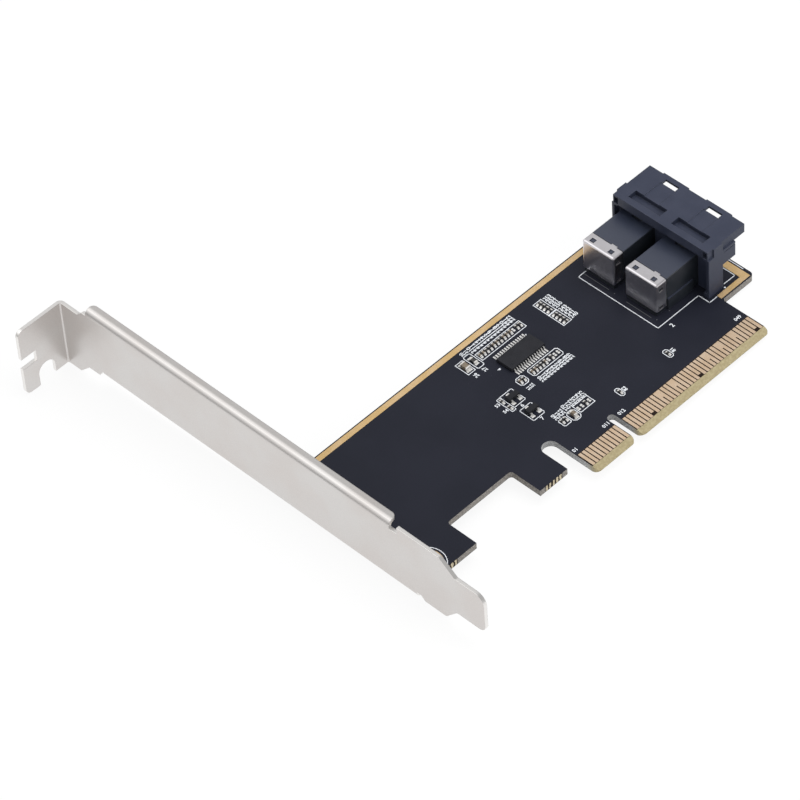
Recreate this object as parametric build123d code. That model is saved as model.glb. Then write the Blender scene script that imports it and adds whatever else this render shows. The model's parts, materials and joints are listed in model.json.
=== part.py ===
from build123d import *

import os
from math import radians, tan

# Expansion card with two right-angle data connectors and a folded slot bracket, in millimetres.
# The origin is the centre of the key notch on the card edge, on the board's component side.
# +X runs along the board away from the bracket, +Y from the card edge to the board's far edge,
# and +Z out of the component side.

# Board
board_thickness = 1.6
board_top = 44.65
board_right = 48.95
board_corner = 1.0
open_edge = 12.8
tab_bottom = 4.8
tab_1_right = -42.05
tab_2_left = -23.8
hook_slot_width = 3.8
hook_slot_top = 13.0
key_width = 1.9
key_top = 8.4
tongue_corner = 1.0
key_corner = 1.2
inside_corner = 0.8
bevel_height = 1.5
bevel_angle = 24.0
board_gap = 0.41

# Card-edge contacts
contact_pitch = 1.0
key_to_contact = 1.5
contacts_before_key = 11
contacts_after_key = 38
contact_width = 0.73
contact_bottom = 1.55
contact_top = 5.7
contact_to_side = 0.65
short_contact_rise = 0.8
short_contacts_front = (17, 31, 48)
short_contacts_back = (1,)
paired_contacts = (21, 25, 35, 39, 43)
pair_depth = 2.1
plating = 0.05

# Gold strip along the edges
strip_top_width = 1.3
strip_end_width = 1.8
strip_foot_width = 1.25
strip_inset = 0.3
strip_end_inset = 0.85
strip_foot_gap = 0.1

# Slot bracket
sheet = 0.8
bracket_face = -57.15
bracket_height = 120.02
bracket_foot = -12.03
fold_radius = 0.4
tongue_low = -0.75
tongue_high = 9.2
tongue_start = -4.4
shoulder_y = -0.3
low_shoulder_y = -1.3
shoulder_radius = 1.0
low_foot_corner = 1.8
high_foot_corner = 2.4
plate_low = -4.8
plate_high = 12.4
tail_low = -4.1
head_low = -7.95
head_high = 9.42
lip_radius = 1.5
lip_reach = 2.52
lip_corner = 1.2
upper_lip_start = 13.35
upper_lip_to_fold = 7.7
lower_lip_start = 6.6
lower_lip_to_fold = 11.0
relief_width = 2.2
relief_depth = 0.25
shoulder_end_low = -5.1
shoulder_to_fold = 6.7

# Bracket's top tab
tab_reach = 11.85
tab_low = -8.67
tab_corner = 1.5
tab_slot_low = -1.2
tab_slot_high = 1.7
tab_slot_depth = 3.9
screw_notch_width = 4.42
screw_notch_offset = 5.75
screw_notch_top = -3.4

# Mounting ears and screws
hole_to_face = 4.72
lower_hole_y = 8.48
upper_hole_y = 38.0
screw_radius = 1.42
screw_clearance = 0.18
thread_clearance = 0.08
screw_end = -3.95
head_radius = 2.5
head_height = 0.9
cross_length = 2.6
cross_width = 0.5
cross_depth = 0.5
ear_radius = 3.6
pad_ring_radius = 3.6

# Connectors
port_pitch = 11.8
port_1_y = 35.575
port_width = 8.75
port_height = 8.9
cap_rear = 26.6
cap_depth = 2.9
cap_sheet = 0.2
cap_bottom = 1.2
cap_radius = 0.45
cap_fit = 0.02
cap_gap = 0.15
cap_proud = 0.05
window_size = 1.15
window_spread = 2.5
window_x = 1.35
side_window_z = 7.0
side_window_low_z = 1.9
side_window_height = 0.85
latch_nub = 0.7
cap_tab_offset = -1.85
cap_tab_width = 1.5
cap_tab_reach = 0.35
cap_tab_relief = 0.05
body_notch_width = 2.6
body_notch_length = 0.75
body_notch_depth = 0.5
foot_ledge = 0.3
foot_height = 3.0

# Guide housing at the front of the connectors
guide_rear = 37.5
wall_setback = 1.6
guide_low_y = 14.93
guide_high_y = 41.6
guide_top = 13.0
flange_thickness = 2.3
flange_front = 48.8
flange_inset = 0.37
leg_front = 41.8
rail_front = 45.6
rail_bottom = 6.75
rail_slit_z = 9.85
rail_slit_height = 0.2
rail_slit_depth = 0.4
wall_width = 1.45
rear_wall = 1.3
body_pocket = 0.5
body_fit = 0.1
cell_shift = -1.5
centre_rib = 1.4
front_boss_width = 6.9
front_boss_reach = 0.3
latch_slot_x = 46.6
latch_slot_length = 1.3
latch_slot_width = 3.7
latch_panel_width = 4.25
latch_panel_depth = 0.15
cell_width = 8.2
cell_roof = 0.6
cell_margin = 0.45
top_pocket_x = 39.05
top_pocket_length = 2.4
top_pocket_width = 8.7
top_pocket_depth = 1.2
rear_hole_width = 1.1
rear_hole_inset = 1.2
rear_hole_depth = 1.3
rear_holes = ((1.0, 10.3), (10.85, 12.65))
peg_radius = 0.7
peg_clearance = 0.08
peg_length = 2.4
peg_x = 40.0

# Noses and spring contacts
nose_front = 44.3
nose_width = 8.0
nose_low = 1.2
nose_high = 8.3
nose_chamfer = 0.4
card_slot_width = 7.2
card_slot_height = 1.5
card_slot_heights = (3.1, 6.4)
card_slot_depth = 3.5
spring_count = 9
spring_pitch = 0.75
spring_width = 0.32
spring_thickness = 0.16
spring_bump = 0.34
spring_length = 3.0
spring_setback = 0.3
bump_length = 1.0

# Soldered tails
tail_rows = 4
tail_row_x = 30.6
tail_row_pitch = 1.7
tail_radius = 0.3
tail_tip_radius = 0.14
tail_height = 0.5

# Chip
chip_x = 0.7
chip_y = 33.2
chip_length = 9.7
chip_width = 4.4
chip_height = 0.9
chip_lift = 0.1
chip_draft = 8.0
chip_mark_inset = 0.9
chip_mark_radius = 0.35
chip_mark_depth = 0.06
lead_count = 14
lead_pitch = 0.65
lead_width = 0.24
lead_thickness = 0.12
lead_span = 6.5
lead_foot = 0.6
lead_top = 0.42
lead_shoulder = 0.45
lead_slant = 0.07

# Transistors
transistor_centres = ((-9.2, 26.1), (-9.2, 20.8))
transistor_length = 2.9
transistor_width = 1.3
transistor_height = 1.0
transistor_lift = 0.1
transistor_draft = 7.0
transistor_lead_pitch = 1.9
transistor_lead_width = 0.4
transistor_lead_thickness = 0.12
transistor_lead_top = 0.5
transistor_span = 2.45
transistor_foot = 0.3

# Chip components
small_length = 1.0
small_width = 0.5
small_end = 0.22
small_step = 0.03
capacitor_height = 0.5
resistor_height = 0.35
pad_length = 0.45
pad_width = 0.5
left_row_x = -5.15
left_row_y = 39.0
left_row_pitch = 0.98
left_row = "ccrrccrcccbrr"
right_row_x = -1.45
right_row_y = 27.95
right_row_pitch = 0.95
right_row = "ccrrcbrbb"
foot_row_x = -2.55
foot_row_y = 14.17
foot_row_pitch = 1.02
foot_row = "bbrb"
loose_parts = (
    (-5.0, 27.95, "c"), (-4.0, 27.95, "r"), (-11.5, 26.9, "r"), (-11.5, 24.6, "r"), (-7.4, 14.15, "r"),
    (-6.45, 14.15, "r"), (6.25, 11.0, "r"), (20.5, 10.9, "r"),
)
column_x = 13.45
column_y = (32.55, 33.6, 34.6, 35.55, 37.0, 38.05, 39.05, 40.0)
large_capacitors = ((-9.5, 39.0, 1.25, 2.0, 0.9), (-4.5, 13.75, 0.85, 1.6, 0.8))
bead = (-7.1, 39.05, 0.85, 1.7, 0.45)
large_end = 0.35
large_pad_margin = 0.1
large_pad_reach = 0.45

# Values worked out from the ones above
underside = -board_thickness
inner_face = bracket_face + sheet
hole_x = bracket_face + hole_to_face
board_left = inner_face + board_gap
fold_y = bracket_foot + bracket_height - sheet
upper_lip_end = fold_y - upper_lip_to_fold
lower_lip_end = fold_y - lower_lip_to_fold
shoulder_end_y = fold_y - shoulder_to_fold
tongue_1_left = -key_to_contact - (contacts_before_key - 1) * contact_pitch - contact_to_side
tongue_2_right = key_to_contact + (contacts_after_key - 1) * contact_pitch + contact_to_side
contact_count = contacts_before_key + contacts_after_key
guide_mid_y = (guide_low_y + guide_high_y) / 2
wall_rear = guide_rear + wall_setback
flange_bottom = guide_top - flange_thickness
port_centres = (port_1_y, port_1_y - port_pitch)
cell_centres = tuple(y + cell_shift for y in port_centres)
screw_hole_radius = screw_radius + screw_clearance
peg_centres = (guide_low_y + wall_width / 2, guide_high_y - wall_width / 2)
rear_hole_centres = (guide_low_y + rear_hole_inset, guide_high_y - rear_hole_inset)
on_base = (Align.CENTER, Align.CENTER, Align.MIN)


def box(x0, x1, y0, y1, z0, z1):
    """A box from its two extreme corners."""
    block = Box(x1 - x0, y1 - y0, z1 - z0, align=(Align.MIN, Align.MIN, Align.MIN))
    return Pos(x0, y0, z0) * block


def rectangle(x0, x1, y0, y1):
    """A flat rectangle from its two extreme corners."""
    return Pos((x0 + x1) / 2, (y0 + y1) / 2) * Rectangle(x1 - x0, y1 - y0)


def outline(*points):
    """A flat face inside a closed run of points."""
    return make_face(Polyline(*points, close=True))


def rounded(face, *corners):
    """Round the corners of a flat face, each given as x, y and radius."""
    for x, y, radius in corners:
        vertex = min(face.vertices(), key=lambda v: (v.X - x) ** 2 + (v.Y - y) ** 2)
        face = fillet(vertex, radius)
    return face


def prism_x(face, x0, x1):
    """Extrude a face drawn in Y and Z from x0 to x1."""
    return Pos(x0, 0, 0) * extrude(Plane.YZ * face, x1 - x0)


def prism_y(face, y0, y1):
    """Extrude a face drawn in X and Z from y0 to y1."""
    return Pos(0, y1, 0) * extrude(Plane.XZ * face, y1 - y0)


def prism_z(face, z0, z1):
    """Extrude a face drawn in X and Y from z0 to z1."""
    return Pos(0, 0, z0) * extrude(face, z1 - z0)


def contact_x(number):
    """Centre of a numbered card-edge contact."""
    if number <= contacts_before_key:
        return -key_to_contact - (contacts_before_key - number) * contact_pitch
    return key_to_contact + (number - contacts_before_key - 1) * contact_pitch


def circuit_board():
    """The board's routed outline with its slots, holes and bevelled card edge."""
    slot_left = tongue_1_left - hook_slot_width
    slot_radius = hook_slot_width / 2
    slot_end = hook_slot_top - slot_radius
    key_radius = key_width / 2
    key_end = key_top - key_radius
    face = outline(
        (board_left, tab_bottom), (tab_1_right, tab_bottom), (tab_1_right, open_edge),
        (tab_2_left, open_edge), (tab_2_left, tab_bottom), (slot_left, tab_bottom),
        (slot_left, slot_end), (tongue_1_left, slot_end), (tongue_1_left, 0), (-key_radius, 0),
        (-key_radius, key_end), (key_radius, key_end), (key_radius, 0), (tongue_2_right, 0),
        (tongue_2_right, open_edge), (board_right, open_edge), (board_right, board_top),
        (board_left, board_top),
    )
    face = rounded(
        face,
        (board_right, board_top, board_corner), (board_right, open_edge, board_corner),
        (tab_1_right, open_edge, inside_corner), (tab_2_left, open_edge, inside_corner),
        (tongue_1_left, 0, tongue_corner), (tongue_2_right, 0, tongue_corner),
        (-key_radius, 0, key_corner), (key_radius, 0, key_corner),
        (tongue_2_right, open_edge, inside_corner),
    )
    face -= Pos(slot_left + slot_radius, slot_end) * Circle(slot_radius)
    face -= Pos(0, key_end) * Circle(key_radius)
    for y in (lower_hole_y, upper_hole_y):
        face -= Pos(hole_x, y) * Circle(screw_hole_radius)
    for y in peg_centres:
        face -= Pos(peg_x, y) * Circle(peg_radius + peg_clearance)
    board = prism_z(face, underside, 0)
    cut = bevel_height * tan(radians(bevel_angle))
    upper = outline((0, 0), (bevel_height, 0), (0, -cut))
    lower = outline((0, underside), (bevel_height, underside), (0, underside + cut))
    return [board - prism_x(upper + lower, tongue_1_left, tongue_2_right)]


def edge_contacts(z0, z1, short_ones, pairs):
    """One side's row of card-edge contacts, with paired ones joined near their tops."""
    contacts = []
    joined = {number + 1 for number in pairs}
    for number in range(1, contact_count + 1):
        if number in joined:
            continue
        pad = contact_pad(number, z0, z1, short_ones)
        if number in pairs:
            left, right = contact_x(number), contact_x(number + 1)
            pad += box(left, right, contact_top - pair_depth, contact_top, z0, z1)
            pad += contact_pad(number + 1, z0, z1, short_ones)
        contacts.append(pad)
    return contacts


def contact_pad(number, z0, z1, short_ones):
    """One card-edge contact."""
    x = contact_x(number)
    bottom = contact_bottom + (short_contact_rise if number in short_ones else 0)
    return box(x - contact_width / 2, x + contact_width / 2, bottom, contact_top, z0, z1)


def ground_strip():
    """Exposed gold along the top edge, round the right end and back along the right foot."""
    left = board_left + strip_inset
    right = board_right - strip_end_inset
    top = board_top - strip_inset
    bottom = open_edge + strip_inset
    run = rectangle(left, right, top - strip_top_width, top)
    run += rectangle(right - strip_end_width, right, bottom, top)
    run += rectangle(tongue_2_right + strip_foot_gap, right, bottom, bottom + strip_foot_width)
    return [prism_z(run, 0, plating)]


def mounting_pads():
    """Gold rings round the two mounting holes."""
    ring = Circle(pad_ring_radius) - Circle(screw_hole_radius)
    return [prism_z(Pos(hole_x, y) * ring, 0, plating) for y in (lower_hole_y, upper_hole_y)]


def lip(start, end, edge, side):
    """A flange folded from the plate's upper edge (side 1) or lower edge (side -1)."""
    depth = lip_radius + sheet
    tip = bracket_face + lip_reach
    profile = outline(
        (bracket_face, -depth), (inner_face, -depth), (inner_face, -sheet), (tip, -sheet), (tip, 0),
        (bracket_face, 0),
    )
    profile = rounded(profile, (bracket_face, 0, lip_radius), (inner_face, -sheet, lip_radius - sheet))
    plan = rectangle(bracket_face, tip, start, end)
    plan = rounded(plan, (tip, start, lip_corner), (tip, end, lip_corner))
    flange = prism_y(profile, start, end) & prism_z(plan, -depth, 0)
    if side < 0:
        flange = mirror(flange, about=Plane.XY)
    return Pos(0, 0, edge) * flange


def ear(y):
    """A stepped ear from the lower lip up to the underside of the board, with its tapped hole."""
    low = plate_low
    high = underside - sheet
    rise = high - low
    start = bracket_face + lip_radius
    step = start + rise
    profile = outline(
        (start, low), (step, high), (hole_x, high), (hole_x, high + sheet), (step, high + sheet),
        (start, low + sheet),
    )
    arm = prism_y(profile, y - ear_radius / 2, y + ear_radius)
    pad = Pos(hole_x, y) * Circle(ear_radius) + rectangle(step, hole_x, y - ear_radius, y + ear_radius)
    hole = Pos(hole_x, y) * Circle(screw_radius + thread_clearance)
    pad_solid = prism_z(pad, high, underside)
    return (arm + pad_solid) - prism_z(hole, high - sheet, underside + sheet)


def bracket():
    """One folded sheet: plate, bottom tongue, top tab, two stiffening lips and two ears."""
    fold_top = fold_y + sheet
    tab_end = bracket_face - tab_reach
    strip = outline(
        (bracket_face, bracket_foot), (inner_face, bracket_foot), (inner_face, fold_top), (tab_end, fold_top),
        (tab_end, fold_y), (bracket_face, fold_y),
    )
    strip = rounded(strip, (bracket_face, fold_y, fold_radius), (inner_face, fold_top, fold_radius + sheet))
    blank = prism_z(strip, tab_low - sheet, plate_high)
    upper_root = plate_high - lip_radius
    lower_root = plate_low + lip_radius
    relief_top = upper_lip_start - relief_width
    relief_floor = upper_root - relief_depth
    tail_relief = lower_root + relief_depth
    upper_shoulder = upper_lip_end + relief_width / 2
    plate = outline(
        (bracket_foot, tongue_low), (bracket_foot, tongue_high), (tongue_start, tongue_high),
        (shoulder_y, plate_high), (relief_top, plate_high), (relief_top, relief_floor),
        (upper_lip_start, relief_floor), (upper_lip_start, upper_root), (upper_shoulder, upper_root),
        (upper_shoulder + upper_root - head_high, head_high), (fold_top, head_high), (fold_top, head_low),
        (shoulder_end_y + shoulder_end_low - head_low, head_low), (shoulder_end_y, shoulder_end_low),
        (lower_lip_end + relief_width / 2, shoulder_end_low), (lower_lip_end, lower_root),
        (lower_lip_start, lower_root), (lower_lip_start, tail_relief),
        (lower_lip_start - relief_width / 2, tail_relief), (lower_lip_start - relief_width, tail_low),
        (low_shoulder_y, tail_low), (tongue_start, tongue_low),
    )
    plate = rounded(
        plate,
        (bracket_foot, tongue_low, low_foot_corner), (bracket_foot, tongue_high, high_foot_corner),
        (tongue_start, tongue_high, shoulder_radius), (shoulder_y, plate_high, shoulder_radius),
        (low_shoulder_y, tail_low, shoulder_radius), (tongue_start, tongue_low, shoulder_radius),
    )
    tab = outline(
        (bracket_face, head_low), (bracket_face, head_high), (tab_end, head_high), (tab_end, tab_low),
        (bracket_face - screw_notch_offset, tab_low), (bracket_face - screw_notch_offset, head_low),
    )
    tab = rounded(tab, (tab_end, head_high, tab_corner), (tab_end, tab_low, tab_corner))
    notch_x = bracket_face - screw_notch_offset
    notch_radius = screw_notch_width / 2
    notch_end = screw_notch_top - notch_radius
    tab -= rectangle(notch_x - notch_radius, notch_x + notch_radius, tab_low - sheet, notch_end)
    tab -= Pos(notch_x, notch_end) * Circle(notch_radius)
    tab -= rectangle(tab_end, tab_end + tab_slot_depth, tab_slot_low, tab_slot_high)
    bend_start = bracket_face - fold_radius
    beside_plate = box(tab_end, bend_start, fold_y - sheet, fold_top, tab_low, plate_high)
    plate_solid = prism_x(plate, bend_start, inner_face)
    tab_solid = prism_y(tab, fold_y - sheet, fold_top) & beside_plate
    body = blank & (plate_solid + tab_solid)
    body += lip(upper_lip_start, upper_lip_end, plate_high, 1)
    body += lip(lower_lip_start, lower_lip_end, plate_low, -1)
    for y in (lower_hole_y, upper_hole_y):
        body += ear(y)
    return [body]


def bracket_screws():
    """Two low-headed cross-recess screws through the board into the ears."""
    head = Pos(0, 0, plating) * Cylinder(head_radius, head_height, align=on_base)
    head = fillet(head.edges().group_by(Axis.Z)[-1], head_height / 3)
    shank = Pos(0, 0, screw_end) * Cylinder(screw_radius, plating - screw_end, align=on_base)
    top = plating + head_height
    half_length, half_width = cross_length / 2, cross_width / 2
    cross = box(-half_length, half_length, -half_width, half_width, top - cross_depth, top)
    cross += box(-half_width, half_width, -half_length, half_length, top - cross_depth, top)
    screw = head + shank - cross
    return [Pos(hole_x, y, 0) * screw for y in (lower_hole_y, upper_hole_y)]


def rear_edges(block):
    """A box's two rear upright edges and the three edges round the rear of its top."""
    upright = block.edges().filter_by(Axis.Z).group_by(Axis.X)[0]
    return upright + block.faces().sort_by(Axis.Z)[-1].edges().sort_by(Axis.X)[:3]


def port_body(y):
    """One connector's moulded body, stepped in under its cap, with a foot, latch nubs and a front notch."""
    half = port_width / 2
    inner_half = half - cap_sheet - cap_fit
    cap_front = cap_rear + cap_depth
    rear = cap_rear + cap_sheet + cap_fit
    top = port_height - cap_proud
    inner_top = port_height - cap_sheet - cap_fit
    body_front = wall_rear + body_pocket
    profile = rounded(
        rectangle(-(half - cap_proud), half - cap_proud, 0, top),
        (-(half - cap_proud), top, 0.3), (half - cap_proud, top, 0.3),
    )
    main = prism_x(profile, cap_front + cap_gap, body_front)
    under = box(rear, cap_front + cap_gap, -inner_half, inner_half, 0, inner_top)
    under = fillet(rear_edges(under), cap_sheet)
    foot_half = half + foot_ledge
    foot = box(cap_front + foot_ledge, guide_rear - body_fit, -foot_half, foot_half, 0, foot_height)
    nubs = Part() + [
        box(
            cap_rear + window_x - latch_nub / 2, cap_rear + window_x + latch_nub / 2,
            side * window_spread - latch_nub / 2, side * window_spread + latch_nub / 2,
            inner_top, port_height - cap_sheet / 2,
        )
        for side in (-1, 1)
    ]
    relief = box(
        cap_front - cap_fit, cap_front + cap_tab_reach + cap_tab_relief,
        cap_tab_offset - cap_tab_width / 2 - cap_fit, cap_tab_offset + cap_tab_width / 2 + cap_fit,
        inner_top, port_height,
    )
    relief += box(
        wall_rear - body_notch_length, wall_rear - body_fit, -body_notch_width / 2, body_notch_width / 2,
        port_height - body_notch_depth, port_height,
    )
    return [Pos(0, y, 0) * (main + under + foot + nubs - relief)]


def port_cap(y):
    """Folded metal cap over the rear of a connector body, with latch windows and one holding tab."""
    half = port_width / 2
    inner_half = half - cap_sheet
    front = cap_rear + cap_depth
    outer = box(cap_rear, front, -half, half, cap_bottom, port_height)
    outer = fillet(rear_edges(outer), cap_radius)
    inside = box(cap_rear + cap_sheet, front, -inner_half, inner_half, cap_bottom, port_height - cap_sheet)
    inside = fillet(rear_edges(inside), cap_sheet)
    cap = outer - inside
    x = cap_rear + window_x
    size = window_size / 2
    for y_window in (-window_spread, window_spread):
        cap -= box(x - size, x + size, y_window - size, y_window + size, 0, port_height * 2)
    side_size = side_window_height / 2
    for z in (side_window_z, side_window_low_z):
        cap -= box(x - size, x + size, -port_width, port_width, z - side_size, z + side_size)
    cap += box(
        front, front + cap_tab_reach, cap_tab_offset - cap_tab_width / 2, cap_tab_offset + cap_tab_width / 2,
        port_height - cap_sheet, port_height,
    )
    return [Pos(0, y, 0) * cap]


def nose(y):
    """The block with two card slots that stands forward inside one cell of the guide."""
    root = wall_rear + rear_wall
    block = box(root, nose_front, y - nose_width / 2, y + nose_width / 2, nose_low, nose_high)
    block = chamfer(block.faces().sort_by(Axis.X)[-1].edges(), nose_chamfer)
    for z in card_slot_heights:
        block -= box(
            nose_front - card_slot_depth, nose_front, y - card_slot_width / 2, y + card_slot_width / 2,
            z - card_slot_height / 2, z + card_slot_height / 2,
        )
    return block


def band(x0, x1, y, width, depth):
    """A box centred on y that reaches down from the top of the guide."""
    return box(x0, x1, y - width / 2, y + width / 2, guide_top - depth, guide_top)


def port_guide():
    """The front moulding that both connectors share: rear wall, legs, rails, flange, noses and pegs."""
    wall_front = wall_rear + rear_wall
    body = box(wall_rear, wall_front, guide_low_y, guide_high_y, 0, flange_bottom)
    body += box(
        guide_rear, flange_front, guide_low_y + flange_inset, guide_high_y - flange_inset, flange_bottom,
        guide_top,
    )
    for low, high in ((guide_low_y, guide_low_y + wall_width), (guide_high_y - wall_width, guide_high_y)):
        body += box(guide_rear, leg_front, low, high, 0, flange_bottom)
        body += box(wall_rear, leg_front, low, high, flange_bottom, guide_top)
        body += box(leg_front, rail_front, low, high, rail_bottom, flange_bottom)
    rib_half = centre_rib / 2
    body += box(wall_front, rail_front, guide_mid_y - rib_half, guide_mid_y + rib_half, 0, flange_bottom)
    slit_top = rail_slit_z + rail_slit_height
    for y in (guide_low_y, guide_high_y - rail_slit_depth):
        body -= box(leg_front + rail_slit_depth, rail_front, y, y + rail_slit_depth, rail_slit_z, slit_top)
    pocket_end = wall_rear + body_pocket + body_fit
    pocket_half = port_width / 2 - cap_proud + body_fit
    for y in port_centres:
        body -= box(wall_rear, pocket_end, y - pocket_half, y + pocket_half, 0, port_height + body_fit)
    slot_end = latch_slot_x + latch_slot_length
    pocket_front = top_pocket_x + top_pocket_length
    boss_front = flange_front + front_boss_reach
    half_cell = cell_width / 2
    for y in cell_centres:
        body += nose(y)
        body += band(flange_front, boss_front, y, front_boss_width, flange_thickness)
        body -= box(
            pocket_front + cell_margin, boss_front, y - half_cell, y + half_cell, flange_bottom,
            guide_top - cell_roof,
        )
        body -= band(latch_slot_x, slot_end, y, latch_slot_width, flange_thickness)
        body -= band(top_pocket_x, pocket_front, y, top_pocket_width, top_pocket_depth)
        body -= band(pocket_front, latch_slot_x, y, latch_panel_width, latch_panel_depth)
    hole_end = guide_rear + rear_hole_depth
    hole_half = rear_hole_width / 2
    for y in rear_hole_centres:
        for low, high in rear_holes:
            body -= box(guide_rear, hole_end, y - hole_half, y + hole_half, low, high)
    for y in peg_centres:
        body += Pos(peg_x, y, -peg_length) * Cylinder(peg_radius, peg_length, align=on_base)
    return [body]


def spring_contact(y, z, side):
    """One spring strip lying on the floor or the ceiling of a card slot, with its raised contact point."""
    back = nose_front - spring_setback - spring_length
    front = nose_front - spring_setback
    points = (
        (back, 0), (front, 0), (front, spring_thickness), (front - bump_length / 2, spring_bump),
        (front - bump_length, spring_thickness), (back, spring_thickness),
    )
    profile = outline(*((x, z + side * height) for x, height in points))
    return prism_y(profile, y - spring_width / 2, y + spring_width / 2)


def port_contacts(cell_y):
    """The four rows of spring contacts in one nose."""
    springs = []
    first = cell_y - (spring_count - 1) / 2 * spring_pitch
    for z in card_slot_heights:
        for side in (1, -1):
            face_z = z - side * card_slot_height / 2
            for index in range(spring_count):
                springs.append(spring_contact(first + index * spring_pitch, face_z, side))
    return springs


def port_joints(y):
    """Soldered tails of one connector, in staggered rows under the board."""
    joints = []
    first = y - (spring_count - 1) / 2 * spring_pitch
    for row in range(tail_rows):
        shift = spring_pitch / 4 * (1 if row % 2 else -1)
        for index in range(spring_count):
            x, y_joint = tail_row_x + row * tail_row_pitch, first + index * spring_pitch + shift
            base = Pos(x, y_joint, underside) * RegularPolygon(tail_radius, 6)
            tip = Pos(x, y_joint, underside - tail_height) * RegularPolygon(tail_tip_radius, 6)
            joints.append(loft([base, tip]))
    return joints


def chip_body():
    """The chip's moulded body, drafted above and below its leads, with a pin-one mark."""
    lead_crown = lead_top + lead_thickness
    face = Pos(chip_x, chip_y) * Rectangle(chip_length, chip_width)
    upper = Pos(0, 0, lead_crown) * extrude(face, chip_height - lead_crown, taper=chip_draft)
    lower = Pos(0, 0, lead_top) * extrude(face, -(lead_top - chip_lift), taper=chip_draft)
    mark_x = chip_x - chip_length / 2 + chip_mark_inset
    mark_y = chip_y - chip_width / 2 + chip_mark_inset
    mark = prism_z(Pos(mark_x, mark_y) * Circle(chip_mark_radius), chip_height - chip_mark_depth, chip_height)
    return [upper + prism_z(face, lead_top, lead_crown) + lower - mark]


def gull_wing(centre, side, root, reach, foot, top, thickness):
    """Profile of a lead that leaves a body at root, bends down and lies flat as far as reach."""
    knee = reach - foot
    shoulder = root + (knee - root) * lead_shoulder
    points = (
        (root, top), (shoulder, top), (knee, 0), (reach, 0), (reach, thickness),
        (knee + lead_slant, thickness), (shoulder + lead_slant, top + thickness), (root, top + thickness),
    )
    return outline(*((centre + side * y, z) for y, z in points))


def chip_leads():
    """Two rows of gull-wing leads."""
    leads = []
    first = chip_x - (lead_count - 1) / 2 * lead_pitch
    for side in (-1, 1):
        profile = gull_wing(
            chip_y, side, chip_width / 2, lead_span / 2, lead_foot, lead_top, lead_thickness
        )
        for index in range(lead_count):
            x = first + index * lead_pitch
            leads.append(prism_x(profile, x - lead_width / 2, x + lead_width / 2))
    return leads


def transistor_bodies():
    """Moulded bodies of the two transistors, drafted above and below their leads."""
    crown = transistor_lead_top + transistor_lead_thickness
    bodies = []
    for x, y in transistor_centres:
        face = Pos(x, y) * Rectangle(transistor_length, transistor_width)
        upper = Pos(0, 0, crown) * extrude(face, transistor_height - crown, taper=transistor_draft)
        under = transistor_lead_top - transistor_lift
        lower = Pos(0, 0, transistor_lead_top) * extrude(face, -under, taper=transistor_draft)
        bodies.append(upper + prism_z(face, transistor_lead_top, crown) + lower)
    return bodies


def transistor_leads():
    """Three gull-wing leads a transistor: one above, two below."""
    leads = []
    half_pitch = transistor_lead_pitch / 2
    for x, y in transistor_centres:
        for side, offset in ((1, 0), (-1, -half_pitch), (-1, half_pitch)):
            profile = gull_wing(
                y, side, transistor_width / 2, transistor_span / 2, transistor_foot, transistor_lead_top,
                transistor_lead_thickness,
            )
            half = transistor_lead_width / 2
            leads.append(prism_x(profile, x + offset - half, x + offset + half))
    return leads


def placed_parts():
    """Every small part position as x, y, kind and turn: c capacitor, r resistor, b bare pads."""
    rows = (
        (left_row, left_row_x, left_row_y, left_row_pitch),
        (right_row, right_row_x, right_row_y, right_row_pitch),
        (foot_row, foot_row_x, foot_row_y, foot_row_pitch),
    )
    parts = [(x, y, kind, 90) for x, y, kind in loose_parts]
    parts += [(column_x, y, "r", 0) for y in column_y]
    for kinds, x, y, pitch in rows:
        parts += [(x + index * pitch, y, kind, 90) for index, kind in enumerate(kinds)]
    return parts


def small_bodies(kind, height):
    """Bodies of the small parts of one kind, between their end caps."""
    half = small_length / 2 - small_end
    width = small_width / 2 - small_step
    block = box(-half, half, -width, width, 0, height - small_step)
    return [Pos(x, y) * Rot(0, 0, turn) * block for x, y, k, turn in placed_parts() if k == kind]


def small_ends(kind, height):
    """End caps of the small parts of one kind."""
    half, end = small_width / 2, small_length / 2
    caps = [
        box(low, low + small_end, -half, half, 0, height) for low in (-end, end - small_end)
    ]
    return [
        Pos(x, y) * Rot(0, 0, turn) * cap for x, y, k, turn in placed_parts() if k == kind for cap in caps
    ]


def large_body(x, y, width, length, height):
    """Body of one larger part, between its end caps."""
    half, end = width / 2 - small_step, length / 2 - large_end
    return box(x - half, x + half, y - end, y + end, 0, height - small_step)


def large_ends(parts):
    """Metal end caps of the larger parts."""
    ends = []
    for x, y, width, length, height in parts:
        for low, high in ((-length / 2, large_end - length / 2), (length / 2 - large_end, length / 2)):
            ends.append(box(x - width / 2, x + width / 2, y + low, y + high, 0, height))
    return ends


def bare_pads():
    """Tinned pads of the places where no part is fitted, and the pads that reach past the larger parts."""
    pads = []
    reach, half_pad = small_length / 2, pad_width / 2
    for x, y, kind, turn in placed_parts():
        if kind == "b":
            for end in (y - reach, y + reach - pad_length):
                pads.append(box(x - half_pad, x + half_pad, end, end + pad_length, 0, plating))
    for x, y, width, length, height in large_capacitors + (bead,):
        half = width / 2 + large_pad_margin
        for end in (y - length / 2 - large_pad_reach, y + length / 2):
            pads.append(box(x - half, x + half, end, end + large_pad_reach, 0, plating))
    return pads


def write(name, solids):
    """Write one sub-part as its own file."""
    shape = solids[0]
    if len(solids) > 1:
        shape = Compound(children=[solid for part in solids for solid in part.solids()])
    export_step(shape, f"parts/{name}.step")


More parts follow.
